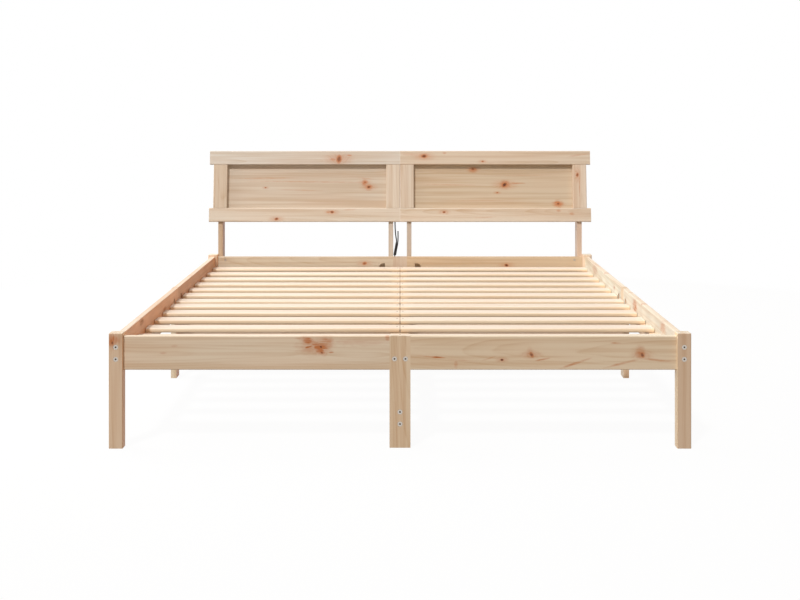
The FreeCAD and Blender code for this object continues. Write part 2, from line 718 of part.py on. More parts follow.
def make_frame():
    """Make the legs, rails, ledgers, beam and posts with their fasteners."""
    ties = {}
    for end, sy in ENDS.items():
        others = {"y": from_mid(sy, RAIL_MID_Y), "z": STUD_Z}
        ties[end] = Tie(f"{end}_tie", "x", "0", others)
    for side, sx in SIDES.items():
        others = {"x": signed(sx, RAIL_MID_X), "z": STUD_Z}
        ties[side] = Tie(f"{side}_tie", "y", MID_Y, others)
    ties["middle"] = Tie("middle_tie", "x", "0", {"y": MID_Y, "z": CROSS_STUD_Z})
    for tie in ties.values():
        tie.build()
    for end in ENDS:
        for side in SIDES:
            into_side, into_end = corner_bolts(side, end)
            for fastener in into_side + into_end:
                fastener.build()
            make_corner_leg(side, end, into_side, into_end)
            make_end_rail(side, end, into_end, ties[end])
            make_side_rail(side, end, into_side, ties[side])
        into_beam, into_prop = beam_bolts(end)
        for fastener in into_beam + into_prop:
            fastener.build()
        make_centre_leg(end, ties[end], into_beam, into_prop)
        make_prop(end, into_prop)
        make_beam(end, into_beam)
    into_cross = {side: cross_bolts(side) for side in SIDES}
    make_beam_leg(ties["middle"], into_cross)
    for side, sx in SIDES.items():
        for fastener in into_cross[side]:
            fastener.build()
        make_middle_leg(side, ties[side], into_cross[side])
        make_ledgers(side)
        make_post(f"{side}_outer_post", signed(sx, f"{LEG_IN_X} - dims.board_thick / 2"))
        make_post(f"{side}_inner_post", signed(sx, f"{HALF_BOARD} + dims.board_thick / 2"))


def rail_back(point):
    """Return a point that is given from the head rail's back face in the bed's frame."""
    across, behind, up = point
    return Vector(across, value(HEAD_RAIL_BACK) + behind, up)


def arc_through(start, tangent, end):
    """Return the arc from a start with a tangent to an end."""
    chord = end - start
    side = tangent - chord * (tangent.dot(chord) / chord.dot(chord))
    if side.Length < 1e-7:
        return Part.LineSegment(start, end).toShape()
    bend = tangent.getAngle(chord)
    rise = chord.Length / 2 * math.tan(bend / 2)
    return Part.Arc(start, start + chord / 2 + side.normalize() * rise, end).toShape()


def cord_path(label, points):
    """Join straight runs by tangent arcs that are as large as the runs allow."""
    edges = []
    radii = []
    reached = points[0]
    for before, corner, after in zip(points, points[1:], points[2:]):
        inward = (corner - before).normalize()
        outward = (after - corner).normalize()
        half_turn = inward.getAngle(outward) / 2
        reach = 0.45 * min((corner - before).Length, (after - corner).Length)
        radii.append(round(reach / math.tan(half_turn), 1))
        first = corner - inward * reach
        last = corner + outward * reach
        edges.append(Part.LineSegment(reached, first).toShape())
        edges.append(arc_through(first, inward, last))
        reached = last
    edges.append(Part.LineSegment(reached, points[-1]).toShape())
    print(label, "radii", radii)
    return edges


def cord_solid(label, edges, start, direction):
    """Sweep the lead's round section along a path and compare the volume with its length."""
    radius = value("dims.lead_dia") / 2
    path = Part.Wire(edges)
    section = Part.Wire([Part.Circle(start, direction, radius).toShape()])
    solid = path.makePipeShell([section], True, False)
    expected = math.pi * radius ** 2 * path.Length
    print(label, "length", round(path.Length, 1), "volume ratio", round(solid.Volume / expected, 4))
    piece = doc.addObject("Part::Feature", f"{label}_tube")
    piece.Shape = solid
    keep(piece, label)


def make_lead_stretch(label, points):
    """Make a free stretch of the lead through its points."""
    cord_solid(label, cord_path(label, points), points[0], points[1] - points[0])


def biarc(start, start_way, end, end_way):
    """Return two arcs that leave a start and reach an end along given directions."""
    chord = end - start
    ways = start_way + end_way
    spread = 2 * (1 - start_way.dot(end_way))
    lean_in = chord.dot(ways)
    if spread < 1e-9:
        reach = chord.dot(chord) / (2 * lean_in)
    else:
        reach = (math.sqrt(lean_in ** 2 + spread * chord.dot(chord)) - lean_in) / spread
    joint = (start + start_way * reach + end - end_way * reach) / 2
    turned = arc_through(end, end_way * -1, joint)
    return [arc_through(start, start_way, joint), turned]


def coil_spot(turn):
    """Return the radius and the height above the floor layer at a turn of the put-away coil.

    The lead spirals in on the floor, dips inwards and climbs a layer in half a turn, and spirals out
    again on top.
    """
    inner = value("dims.coil_inner_radius")
    pitch = value("dims.coil_pitch")
    if turn <= COIL_TURNS_IN:
        return inner + pitch * (COIL_TURNS_IN - turn), 0
    back = (turn - COIL_TURNS_IN) / COIL_TURN_BACK
    if back <= 1:
        dip = value("dims.coil_dip") * math.sin(math.pi * back)
        return inner - dip, pitch * (1 - math.cos(math.pi * back)) / 2
    return inner + pitch * (turn - COIL_TURNS_IN - COIL_TURN_BACK), pitch


def coil_point(centre, turn):
    """Return a point of the coil's line at a turn, counted from the side where the lead comes in."""
    radius, lift = coil_spot(turn)
    angle = (turn - 0.25) * 2 * math.pi
    return centre + Vector(radius * math.cos(angle), radius * math.sin(angle), lift)


def make_coil():
    """Wind the put-away length in two layers on the floor behind the head rail's middle."""
    start = rail_back(COIL_START)
    straight = value("dims.lead_dia")
    ahead = Vector(1, 0, 0)
    centre = start + ahead * straight + Vector(0, coil_spot(0)[0], 0)
    turns = COIL_TURNS_IN + COIL_TURN_BACK + COIL_TURNS_OUT
    quarters = round(4 * turns)
    points = [coil_point(centre, quarter / 4) for quarter in range(quarters + 1)]
    nudge = 0.001
    ways = [ahead]
    for quarter in range(1, quarters):
        step = coil_point(centre, quarter / 4 + nudge) - coil_point(centre, quarter / 4 - nudge)
        ways.append(step.normalize())
    ways.append(ahead)
    edges = [Part.LineSegment(start, points[0]).toShape()]
    for first, first_way, last, last_way in zip(points, ways, points[1:], ways[1:]):
        edges += biarc(first, first_way, last, last_way)
    rim = points[-1] + ahead * value("dims.coil_tail")
    floor = Vector(rim.x + value("dims.coil_descent"), rim.y, value("dims.plug_height / 2"))
    finish = floor + ahead * straight
    edges.append(Part.LineSegment(points[-1], rim).toShape())
    edges += biarc(rim, ahead, floor, ahead)
    edges.append(Part.LineSegment(floor, finish).toShape())
    path = Part.Wire(edges)
    samples = path.discretize(Number=round(60 * turns))
    step = path.Length / (len(samples) - 1)
    apart = int(math.pi * value("dims.coil_inner_radius") / step)
    least = min(
        (one - other).Length for index, one in enumerate(samples) for other in samples[index + apart:]
    )
    print("lead_coil gap to itself", round(least - straight, 2))
    cord_solid("lead_coil", edges, start, ahead)
    return finish


def make_plug(finish):
    """Make the plug on the lead's end, flat on the floor, with its contact tongue."""
    body = box("plug_blank", ["dims.plug_length", "dims.plug_width", "dims.plug_height"],
               [f"{finish.x} + dims.plug_length / 2", str(finish.y), "dims.plug_height / 2"])
    body = rounded("plug_body", body, "dims.plug_round", lambda edge: along(edge, "x"))
    width = "(dims.plug_width - 2 * dims.tongue_inset)"
    tongue = box("plug_tongue", ["dims.tongue_length", width, "dims.tongue_height"],
                 [f"{finish.x} + dims.plug_length + dims.tongue_length / 2", str(finish.y),
                  "dims.plug_height / 2"])
    plug = doc.addObject("Part::Fuse", "plug_whole")
    plug.Base = body
    plug.Tool = tongue
    keep(plug, "plug")


def make_lead():
    """Make the lead between the middle posts, from its holder to its plug."""
    middle = "(dims.board_thick + dims.holder_depth / 2)"
    holder = box("holder_blank", ["dims.holder_width", "dims.holder_depth", "dims.holder_height"],
                 ["-dims.holder_offset", middle, "dims.holder_lift + dims.holder_height / 2"])
    holder = rounded("holder_rounded", holder, "dims.plug_round", lambda edge: along(edge, "z"))
    lean(holder)
    keep(holder, "lead_holder")
    doc.recompute()
    exit_point = holder.Placement.multVec(
        Vector(-value("dims.holder_offset"), value(middle), value("dims.holder_lift")))
    down = holder.Placement.Rotation.multVec(Vector(0, 0, -1))
    size = ["dims.controller_width", "dims.controller_depth", "dims.controller_length"]
    blank = box("controller_blank", size, ["0", "0", "0"])
    controller = rounded("controller_rounded", blank, "dims.controller_round", lambda edge: along(edge, "z"))
    turn = FreeCAD.Rotation(Vector(0, 1, 0), value("dims.controller_lean"))
    spot = rail_back((-value("dims.controller_offset"), value("dims.controller_setback"),
                      value("dims.controller_height")))
    controller.Placement = FreeCAD.Placement(spot, turn)
    keep(controller, "controller")
    half = value("dims.controller_length / 2")
    spread = value("dims.strand_spread / 2")
    upwards = turn.multVec(Vector(0, 0, 1))
    entry = spot + turn.multVec(Vector(-spread, 0, half))
    sensor_exit = spot + turn.multVec(Vector(spread, 0, half))
    lower_exit = spot - upwards * half
    upper = [exit_point, exit_point + down * UPPER_LEAD_EXIT]
    upper += [rail_back(point) for point in UPPER_LEAD_POINTS]
    upper += [entry + upwards * CONTROLLER_RUN, entry]
    make_lead_stretch("lead_upper", upper)
    sensor = [sensor_exit, sensor_exit + upwards * CONTROLLER_RUN]
    sensor += [rail_back(point) for point in SENSOR_LEAD_POINTS]
    make_lead_stretch("sensor_lead", sensor)
    lower = [lower_exit, lower_exit - upwards * LOWER_LEAD_EXIT]
    lower += [rail_back(point) for point in LOWER_LEAD_POINTS + [COIL_START]]
    make_lead_stretch("lead_lower", lower)
    make_plug(make_coil())


def check_document():
    """Stop if any object failed or any node has no valid shape."""
    doc.recompute()
    failed = [item.Name for item in doc.Objects if {"Invalid", "Error"} & set(item.State)]
    if failed:
        raise RuntimeError(f"objects failed: {failed}")
    for piece in nodes:
        if piece.Shape.isNull() or not piece.Shape.isValid():
            raise RuntimeError(f"no valid shape: {piece.Label}")


def write_parts():
    """Write each node to its own file and print its solids and volume."""
    os.makedirs("parts", exist_ok=True)
    for piece in nodes:
        piece.Shape.exportStep(f"parts/{piece.Label}.step")
        print(piece.Label, len(piece.Shape.Solids), round(piece.Shape.Volume / 1000, 2), "cm3")


make_frame()
make_slats()
for side_name in SIDES:
    make_headboard_module(side_name)
make_lead()
group("joint_bolts", bolts)
group("barrel_nuts", barrel_nuts)
group("tie_studs", tie_pieces)
check_document()
write_parts()
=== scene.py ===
"""Dress a slatted double bed in knotty pine for its pictures.

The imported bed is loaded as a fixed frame. Its boards get knotty pine, its fasteners get zinc, and the
lead behind the headboard is drawn as a smooth cord. Lengths are in metres: X runs across the bed, Y runs
from the foot to the head and Z is up.
"""

import logging
import math
from dataclasses import dataclass
from enum import Enum

import bpy
import numpy as np
from mathutils import Matrix, Vector

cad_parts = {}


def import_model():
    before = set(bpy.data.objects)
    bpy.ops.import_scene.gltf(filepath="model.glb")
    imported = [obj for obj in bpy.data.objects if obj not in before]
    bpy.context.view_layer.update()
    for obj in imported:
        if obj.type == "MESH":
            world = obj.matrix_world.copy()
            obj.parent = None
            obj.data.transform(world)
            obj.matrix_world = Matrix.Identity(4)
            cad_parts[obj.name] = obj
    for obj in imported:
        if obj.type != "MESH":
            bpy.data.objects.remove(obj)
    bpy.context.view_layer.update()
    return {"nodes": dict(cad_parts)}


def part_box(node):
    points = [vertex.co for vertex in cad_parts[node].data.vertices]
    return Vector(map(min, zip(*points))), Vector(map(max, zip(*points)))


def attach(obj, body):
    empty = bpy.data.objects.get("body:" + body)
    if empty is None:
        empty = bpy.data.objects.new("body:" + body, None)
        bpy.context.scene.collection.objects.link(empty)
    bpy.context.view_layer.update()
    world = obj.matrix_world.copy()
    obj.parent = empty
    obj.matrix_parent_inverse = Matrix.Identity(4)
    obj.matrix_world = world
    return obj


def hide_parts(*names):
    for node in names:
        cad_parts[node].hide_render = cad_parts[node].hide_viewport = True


LOG = logging.getLogger("double_bed")

BODY = "root"
PHOTO_WIDTH = 800
PHOTO_HEIGHT = 600

Range = tuple[float, float]
Point = tuple[float, float, float]
Colour = tuple[float, float, float, float]
Tree = bpy.types.NodeTree
Node = bpy.types.Node
Socket = bpy.types.NodeSocket
Material = bpy.types.Material
Piece = bpy.types.Object
Feed = Socket | float | tuple


def srgb(red: int, green: int, blue: int) -> Colour:
    """Turn an eight-bit screen colour into a linear colour.

    Args:
        red, green, blue: Levels from 0 to 255.

    Returns:
        The linear colour with full alpha.
    """
    levels = np.array([red, green, blue]) / 255.0
    linear = np.where(levels <= 0.04045, levels / 12.92, ((levels + 0.055) / 1.055) ** 2.4)
    return (*(float(level) for level in linear), 1.0)


class NodeBench:
    """Adds nodes to one tree and joins them."""

    def __init__(self, tree: Tree) -> None:
        """Keep the tree that the nodes go into."""
        self.tree = tree

    def add(self, kind: str, feeds: dict[int | str, Feed] | None = None, **settings: object) -> Node:
        """Add a node, set its properties and fill its inputs.

        Args:
            kind: Blender's name of the node type.
            feeds: What goes into each input, by its index or name.
            settings: Property values by name.

        Returns:
            The new node.
        """
        node = self.tree.nodes.new(kind)
        for name, setting in settings.items():
            setattr(node, name, setting)
        self.fill(node, feeds or {})
        return node

    def fill(self, node: Node, feeds: dict[int | str, Feed]) -> None:
        """Link a node's inputs to other nodes, or set their values.

        Args:
            node: The node to fill.
            feeds: An output socket, a number or a tuple for each input, by its index or name.
        """
        for key, value in feeds.items():
            if isinstance(value, Socket):
                self.tree.links.new(value, node.inputs[key])
            else:
                node.inputs[key].default_value = value

    def find(self, kind: str) -> Node:
        """Return the tree's node of a type."""
        return next(node for node in self.tree.nodes if node.type == kind)

    def math(self, operation: str, *values: Feed) -> Socket:
        """Return the result of a math node on the given values."""
        return self.add("ShaderNodeMath", dict(enumerate(values)), operation=operation).outputs[0]

    def plus(self, first: Feed, second: Feed) -> Socket:
        """Return the sum of two values."""
        return self.math("ADD", first, second)

    def minus(self, first: Feed, second: Feed) -> Socket:
        """Return a value less another one."""
        return self.math("SUBTRACT", first, second)

    def times(self, first: Feed, second: Feed) -> Socket:
        """Return the product of two values."""
        return self.math("MULTIPLY", first, second)

    def most(self, first: Feed, second: Feed) -> Socket:
        """Return the larger of two values."""
        return self.math("MAXIMUM", first, second)

    def vector(self, operation: str, *values: Feed) -> Socket:
        """Return the result of a vector math node, a number for a length or a dot product."""
        node = self.add("ShaderNodeVectorMath", dict(enumerate(values)), operation=operation)
        return node.outputs["Value" if operation in ("LENGTH", "DOT_PRODUCT") else "Vector"]

    def combine(self, x: Feed, y: Feed, z: Feed) -> Socket:
        """Return a vector of three values."""
        return self.add("ShaderNodeCombineXYZ", {0: x, 1: y, 2: z}).outputs[0]

    def split(self, vector: Feed) -> tuple[Socket, ...]:
        """Return the three parts of a vector."""
        return tuple(self.add("ShaderNodeSeparateXYZ", {0: vector}).outputs)

    def smooth(self, value: Feed, low: float, high: float) -> Socket:
        """Return 0 below a low value, 1 above a high one and a smooth rise between them."""
        feeds = {"Value": value, "From Min": low, "From Max": high}
        return self.add("ShaderNodeMapRange", feeds, interpolation_type="SMOOTHSTEP").outputs[0]

    def below(self, value: Feed, low: float, high: float) -> Socket:
        """Return 1 below a low value, 0 above a high one and a smooth fall between them."""
        return self.minus(1.0, self.smooth(value, low, high))

    def spread(self, value: Feed, low: float, high: float) -> Socket:
        """Return a value from 0 to 1 stretched to a range."""
        return self.add("ShaderNodeMapRange", {"Value": value, "To Min": low, "To Max": high}).outputs[0]

    def noise(self, point: Feed, stretch: Point, detail: float = 2.0) -> Socket:
        """Return soft noise from 0 to 1 at a point, with features per metre on each axis."""
        feeds = {"Vector": self.vector("MULTIPLY", point, stretch), "Scale": 1.0, "Detail": detail}
        return self.add("ShaderNodeTexNoise", feeds, noise_dimensions="3D").outputs[0]

    def mix(self, factor: Feed, first: Feed, second: Feed, blend: str = "MIX") -> Socket:
        """Return a colour between two colours."""
        feeds = {0: factor, 6: first, 7: second}
        return self.add("ShaderNodeMix", feeds, data_type="RGBA", blend_type=blend).outputs[2]

    def choose(self, factor: Feed, first: Feed, second: Feed) -> Socket:
        """Return one vector where a factor is 0 and another where it is 1."""
        return self.add("ShaderNodeMix", {0: factor, 4: first, 5: second}, data_type="VECTOR").outputs[1]

    def turned(self, vector: Feed, angle: Feed) -> Socket:
        """Return a vector on axes that are turned by an angle about a board's thickness."""
        feeds = {"Vector": vector, "Angle": self.times(angle, -1.0)}
        return self.add("ShaderNodeVectorRotate", feeds, rotation_type="Z_AXIS").outputs[0]

    def bump(self, shader: Node, height: Feed, strength: float, depth: float) -> None:
        """Raise a shader's surface by a height."""
        feeds = {"Strength": strength, "Distance": depth, "Height": height}
        self.fill(shader, {"Normal": self.add("ShaderNodeBump", feeds).outputs[0]})

    def place(self, group: Tree, **values: Feed) -> Node:
        """Place a shared group and fill its inputs by name."""
        return self.add("ShaderNodeGroup", values, node_tree=group)


class SharedGroup:
    """A node group with named inputs and outputs, which several materials use."""

    KINDS = {"value": "NodeSocketFloat", "vector": "NodeSocketVector", "colour": "NodeSocketColor"}

    def __init__(self, name: str, inputs: dict[str, str], outputs: dict[str, str]) -> None:
        """Make an empty group with its sockets.

        Args:
            name: The group's name.
            inputs: Names of the inputs by their kind, with spaces between them.
            outputs: Names of the outputs likewise.
        """
        self.tree = bpy.data.node_groups.new(name, "ShaderNodeTree")
        for way, kinds in (("INPUT", inputs), ("OUTPUT", outputs)):
            for kind, names in kinds.items():
                for socket in names.split():
                    self.tree.interface.new_socket(name=socket, in_out=way, socket_type=self.KINDS[kind])
        self.bench = NodeBench(self.tree)
        self.given = self.bench.add("NodeGroupInput").outputs

    def close(self, **values: Feed) -> Tree:
        """Fill the outputs by name and return the group's tree."""
        self.bench.fill(self.bench.add("NodeGroupOutput"), values)
        return self.tree


class PineGroups:
    """The shader groups that make pine: growth rings, knots, resin and the finished surface.

    Grains, and the fibre, tone and blush, are features of noise in a metre on each axis. Stretches are how
    far a knot's parts reach along and across, and ends are where a pattern begins and finishes fading out.
    Shades and stains are how much a pattern adds to the wood's depth of colour.
    """

    NO_DEPTH: Point = (1.0, 1.0, 0.0)
    MIDDLE: Range = (0.3, 0.7)
    WANDERS = (((1.1, 4.0, 4.0), 0.016), ((5.0, 26.0, 26.0), 0.0026))
    LATE_RISE = 2.6
    LATE_END: Range = (0.86, 1.0)
    YEARS: Range = (0.3, 1.0)
    FIBRE: Point = (16.0, 620.0, 620.0)
    TONE: Point = (1.6, 64.0, 64.0)
    BLUSH: Point = (2.6, 11.0, 11.0)
    KNOT_GRAIN: Point = (190.0, 190.0, 190.0)
    WAVER: Range = (-0.3, 0.3)
    HEART_STRETCH: Point = (1.35, 0.9, 1.0)
    HALO_STRETCH: Point = (4.2, 1.7, 1.0)
    BULGE_STRETCH: Point = (3.0, 1.6, 1.0)
    BULGE = 1.3
    HEART_END: Range = (0.3, 0.85)
    COLLAR_END: Range = (0.75, 1.5)
    HALO_END: Range = (0.2, 1.7)
    RESIN_GRAIN: Point = (70.0, 150.0, 1.0)
    RESIN_END: Range = (0.2, 1.0)
    STREAK_GRAIN: Point = (34.0, 190.0, 1.0)
    STREAK_DETAIL = 3.0
    STREAKS: Range = (0.45, 1.0)
    RING_SHADE = 0.5
    FIBRE_SHADE: Range = (-0.07, 0.09)
    TONE_SHADE: Range = (-0.22, 0.42)
    END_SHADE = 0.45
    SHADES: Range = (-0.2, 1.1)
    BLUSHES: Range = (0.38, 0.66)
    HALO_STAIN = 0.34
    COLLAR_STAIN = 0.8
    MOST_STAIN = 0.92
    ROUGHS: Range = (0.4, 0.55)
    COLLAR_POLISH = -0.12
    HEIGHT_SHARE = 0.5

    def __init__(self) -> None:
        """Build each group once."""
        self.figure = self.make_figure()
        self.knot = self.make_knot()
        self.resin = self.make_resin()
        self.surface = self.make_surface()

    def offset(self, group: SharedGroup) -> Socket:
        """Return the way along a board's face from a mark's centre to a point."""
        away = group.bench.vector("SUBTRACT", group.given["Point"], group.given["Centre"])
        return group.bench.vector("MULTIPLY", away, self.NO_DEPTH)

    def make_figure(self) -> Tree:
        """Make the growth rings of a board.

        A ring is where the distance from the tree's pith, which runs along the board, passes a whole
        number of ring widths. Slow noise makes the distance wander, and knots bulge it.

        Returns:
            The group's tree.
        """
        group = SharedGroup("pine_figure", {"vector": "Point Pith", "value": "Seed Ring Bulge"},
                            {"value": "Rings Fibre Tone Blush"})
        bench, given = group.bench, group.given
        seed = given["Seed"]
        moved = bench.vector("ADD", given["Point"], bench.combine(seed, seed, seed))
        along, across, deep = bench.split(given["Point"])
        slope, pith_across, pith_deep = bench.split(given["Pith"])
        depth = bench.minus(bench.minus(deep, pith_deep), bench.times(slope, along))
        distance = bench.vector("LENGTH", bench.combine(bench.minus(across, pith_across), depth, 0.0))
        for stretch, reach in self.WANDERS:
            distance = bench.plus(distance, bench.spread(bench.noise(moved, stretch), -reach, reach))
        phase = bench.math("DIVIDE", bench.plus(distance, given["Bulge"]), given["Ring"])
        part = bench.math("FRACT", phase)
        late = bench.times(bench.math("POWER", part, self.LATE_RISE), bench.below(part, *self.LATE_END))
        number = bench.plus(bench.math("FLOOR", phase), seed)
        year = bench.add("ShaderNodeTexWhiteNoise", {"W": number}, noise_dimensions="1D").outputs["Value"]
        return group.close(
            Rings=bench.times(late, bench.spread(year, *self.YEARS)), Fibre=bench.noise(moved, self.FIBRE),
            Tone=bench.noise(moved, self.TONE), Blush=bench.noise(moved, self.BLUSH),
        )

    def make_knot(self) -> Tree:
        """Make a knot: a dark heart, an orange collar, a stained halo and the bulge that it gives the rings.

        The heart is where the distance from its centre, stretched along its own turned axis and wavered
        by noise, is well under its radius, and the collar reaches a little past it. The halo is stretched
        along the grain, and the bulge falls off as a bell curve.

        Returns:
            The group's tree.
        """
        group = SharedGroup("pine_knot", {"vector": "Point Centre", "value": "Radius Turn Dark Seed"},
                            {"value": "Heart Collar Halo Bulge"})
        bench, given = group.bench, group.given
        radius = given["Radius"]
        offset = self.offset(group)
        moved = bench.vector("ADD", offset, bench.combine(given["Seed"], 0.0, 0.0))
        waver = bench.spread(bench.noise(moved, self.KNOT_GRAIN), *self.WAVER)

        def reach(vector: Socket, stretch: Point) -> Socket:
            """Return a distance from the knot in radii, with the vector shrunk on each axis."""
            return bench.math("DIVIDE", bench.vector("LENGTH", bench.vector("DIVIDE", vector, stretch)), radius)

        near = bench.plus(reach(bench.turned(offset, given["Turn"]), self.HEART_STRETCH), waver)
        stain = bench.plus(reach(offset, self.HALO_STRETCH), waver)
        square = bench.math("POWER", reach(offset, self.BULGE_STRETCH), 2.0)
        bell = bench.math("EXPONENT", bench.times(-1.0, square))
        return group.close(
            Heart=bench.times(bench.below(near, *self.HEART_END), given["Dark"]),
            Collar=bench.below(near, *self.COLLAR_END), Halo=bench.below(stain, *self.HALO_END),
            Bulge=bench.times(bell, bench.times(radius, self.BULGE)),
        )

    def make_resin(self) -> Tree:
        """Make a resin mark: soft noise stretched along the board, fading out on turned axes from a centre.

        Returns:
            The group's tree.
        """
        group = SharedGroup("pine_resin", {"vector": "Point Centre Reach", "value": "Turn Strength Seed"},
                            {"value": "Streaks"})
        bench, given = group.bench, group.given
        offset = self.offset(group)
        lined = bench.turned(offset, given["Turn"])
        away = bench.vector("LENGTH", bench.vector("DIVIDE", lined, given["Reach"]))
        moved = bench.vector("ADD", offset, bench.combine(0.0, given["Seed"], 0.0))
        away = bench.plus(away, bench.spread(bench.noise(moved, self.RESIN_GRAIN), *self.WAVER))
        grain = bench.noise(moved, self.STREAK_GRAIN, self.STREAK_DETAIL)
        streak = bench.spread(bench.smooth(grain, *self.MIDDLE), *self.STREAKS)
        streak = bench.times(streak, bench.below(away, *self.RESIN_END))
        return group.close(Streaks=bench.times(streak, given["Strength"]))

    def make_surface(self) -> Tree:
        """Colour the wood from its rings, fibres, knots and resin, and say how rough and high it is.

        Returns:
            The group's tree.
        """
        group = SharedGroup(
            "pine_surface",
            {"value": "Rings Fibre Tone Blush Heart Collar Halo Streaks End", "colour": "Pale Late Rose Stain Core"},
            {"colour": "Color", "value": "Roughness Height"},
        )
        bench, given = group.bench, group.given
        shade = bench.times(given["Rings"], self.RING_SHADE)
        shade = bench.plus(shade, bench.spread(given["Fibre"], *self.FIBRE_SHADE))
        shade = bench.plus(shade, bench.spread(bench.smooth(given["Tone"], *self.MIDDLE), *self.TONE_SHADE))
        shade = bench.plus(shade, bench.times(given["End"], self.END_SHADE))
        wood = bench.mix(bench.smooth(shade, *self.SHADES), given["Pale"], given["Late"])
        rosy = bench.mix(1.0, wood, given["Rose"], "MULTIPLY")
        wood = bench.mix(bench.smooth(given["Blush"], *self.BLUSHES), wood, rosy)
        stained = bench.plus(bench.times(given["Halo"], self.HALO_STAIN), given["Streaks"])
        stained = bench.most(stained, bench.times(given["Collar"], self.COLLAR_STAIN))
        wood = bench.mix(bench.math("MINIMUM", stained, self.MOST_STAIN), wood, given["Stain"])
        dark = bench.most(given["Heart"], bench.minus(given["Streaks"], 1.0))
        wood = bench.mix(bench.math("MINIMUM", dark, 1.0), wood, given["Core"])
        polish = bench.times(given["Collar"], self.COLLAR_POLISH)
        fibres, rings = (bench.times(given[name], self.HEIGHT_SHARE) for name in ("Fibre", "Rings"))
        return group.close(Color=wood, Height=bench.plus(fibres, rings),
                           Roughness=bench.plus(bench.spread(given["Fibre"], *self.ROUGHS), polish))


@dataclass(frozen=True)
class Knot:
    """A knot on a board's face: its place, its radius, how dark its heart is and its turn in radians.

    A mark's place is two of the bed's coordinates: its reach is X, or Y on a side rail, and its height is Z.
    """

    reach: float
    height: float
    radius: float
    dark: float
    turn: float = 0.0


@dataclass(frozen=True)
class Resin:
    """A resin mark on a board's face: its place, its size along and across, its strength and its turn."""

    reach: float
    height: float
    along: float
    across: float
    strength: float
    turn: float = 0.0


@dataclass(frozen=True)
class PineFinish:
    """Planed pine: the colours of the early and late wood, of a quiet board's late wood, stains and knots."""

    pale: Colour = srgb(236, 214, 190)
    late: Colour = srgb(208, 171, 134)
    quiet: Colour = srgb(222, 193, 162)
    rose: Colour = (1.0, 0.965, 0.945, 1.0)
    stain: Colour = srgb(188, 105, 40)
    heart: Colour = srgb(74, 24, 2)
    bump: float = 0.12
    bump_depth: float = 0.0004
    specular: float = 0.5


@dataclass(frozen=True)
class ZincFinish:
    """Zinc-plated steel with a faint mottle, and painted shade in its hollows, such as the bolts' sockets."""

    bright: Colour = srgb(214, 206, 197)
    dull: Colour = srgb(180, 172, 162)
    # The colour of the painted shade in the metal's hollows.
    deep: Colour = srgb(84, 74, 66)
    grain: Point = (420.0, 420.0, 420.0)
    detail: float = 3.0
    rough: Range = (0.46, 0.3)
    shade_distance: float = 0.004
    shade_rays: int = 8
    shade_ramp: Range = (0.4, 0.9)

    def make(self, name: str) -> Material:
        """Make the metal's material.

        Args:
            name: The material's name.

        Returns:
            The material.
        """
        material, bench, shader, point = new_material(name)
        mottle = bench.noise(point, self.grain, self.detail)
        # Painted shade: where ambient occlusion finds the metal hollow, as in a socket, the colour goes to the
        # painted shade colour.
        shelter = bench.add("ShaderNodeAmbientOcclusion", {"Distance": self.shade_distance},
                            only_local=True, samples=self.shade_rays)
        lit_share = bench.smooth(shelter.outputs["AO"], *self.shade_ramp)
        bench.fill(shader, {
            "Base Color": bench.mix(lit_share, self.deep, bench.mix(mottle, self.dull, self.bright)),
            "Roughness": bench.spread(mottle, *self.rough), "Metallic": 1.0,
        })
        return material


@dataclass(frozen=True)
class BlackFinish:
    """Black moulded plastic or cable sheath with a fine pebbled skin."""

    dark: Colour = srgb(10, 10, 11)
    worn: Colour = srgb(20, 20, 22)
    pebble: Point = (900.0, 900.0, 900.0)
    cloud: Point = (60.0, 60.0, 60.0)
    rough: Range = (0.62, 0.8)
    specular: float = 0.25
    bump: float = 0.2
    bump_depth: float = 0.0002

    def make(self, name: str) -> Material:
        """Make the plastic's material.

        Args:
            name: The material's name.

        Returns:
            The material.
        """
        material, bench, shader, point = new_material(name)
        skin = bench.noise(point, self.pebble)
        bench.fill(shader, {
            "Base Color": bench.mix(bench.noise(point, self.cloud), self.dark, self.worn),
            "Roughness": bench.spread(skin, *self.rough), "Specular IOR Level": self.specular,
        })
        bench.bump(shader, skin, self.bump, self.bump_depth)
        return material


def new_material(name: str) -> tuple[Material, NodeBench, Node, Socket]:
    """Make a material with its shader and its object coordinates.

    Args:
        name: The material's name.

    Returns:
        The material, a bench on its tree, its Principled shader and the coordinates' socket.
    """
    material = bpy.data.materials.new(name)
    material.use_nodes = True
    bench = NodeBench(material.node_tree)
    return material, bench, bench.find("BSDF_PRINCIPLED"), bench.add("ShaderNodeTexCoord").outputs["Object"]


def show(name: str, data: bpy.types.ID) -> Piece:
    """Add an object to the scene.

    Args:
        name: The object's name.
        data: Its mesh, curve, camera or lamp.

    Returns:
        The object.
    """
    piece = bpy.data.objects.new(name, data)
    bpy.context.scene.collection.objects.link(piece)
    return piece


def dress(piece: Piece, material: Material) -> None:
    """Give a piece one material in place of what it has."""
    piece.data.materials.clear()
    piece.data.materials.append(material)


class Cut(Enum):
    """How a board lies: the bed's axes of its length, its width and its thickness."""

    RAIL = ((1, 0, 0), (0, 0, 1), (0, -1, 0))
    FLAT = ((1, 0, 0), (0, 1, 0), (0, 0, 1))
    SIDE = ((0, 1, 0), (0, 0, 1), (1, 0, 0))
    BEAM = ((0, 1, 0), (-1, 0, 0), (0, 0, 1))
    UPRIGHT = ((0, 0, 1), (1, 0, 0), (0, 1, 0))
    POST = ((0, 0, 1), (0, 1, 0), (-1, 0, 0))


class Way(Enum):
    """Where a face of a board looks."""

    LEFT = (-1.0, 0.0, 0.0)
    RIGHT = (1.0, 0.0, 0.0)
    FRONT = (0.0, -1.0, 0.0)
    UP = (0.0, 0.0, 1.0)


@dataclass(frozen=True)
class PaintedLightSide:
    """The painted light or shade of a board's faces that look one way, or that way and back: a tone that stands in
    for how light falls on them.
    """

    way: Way
    tone: Point
    both: bool = False


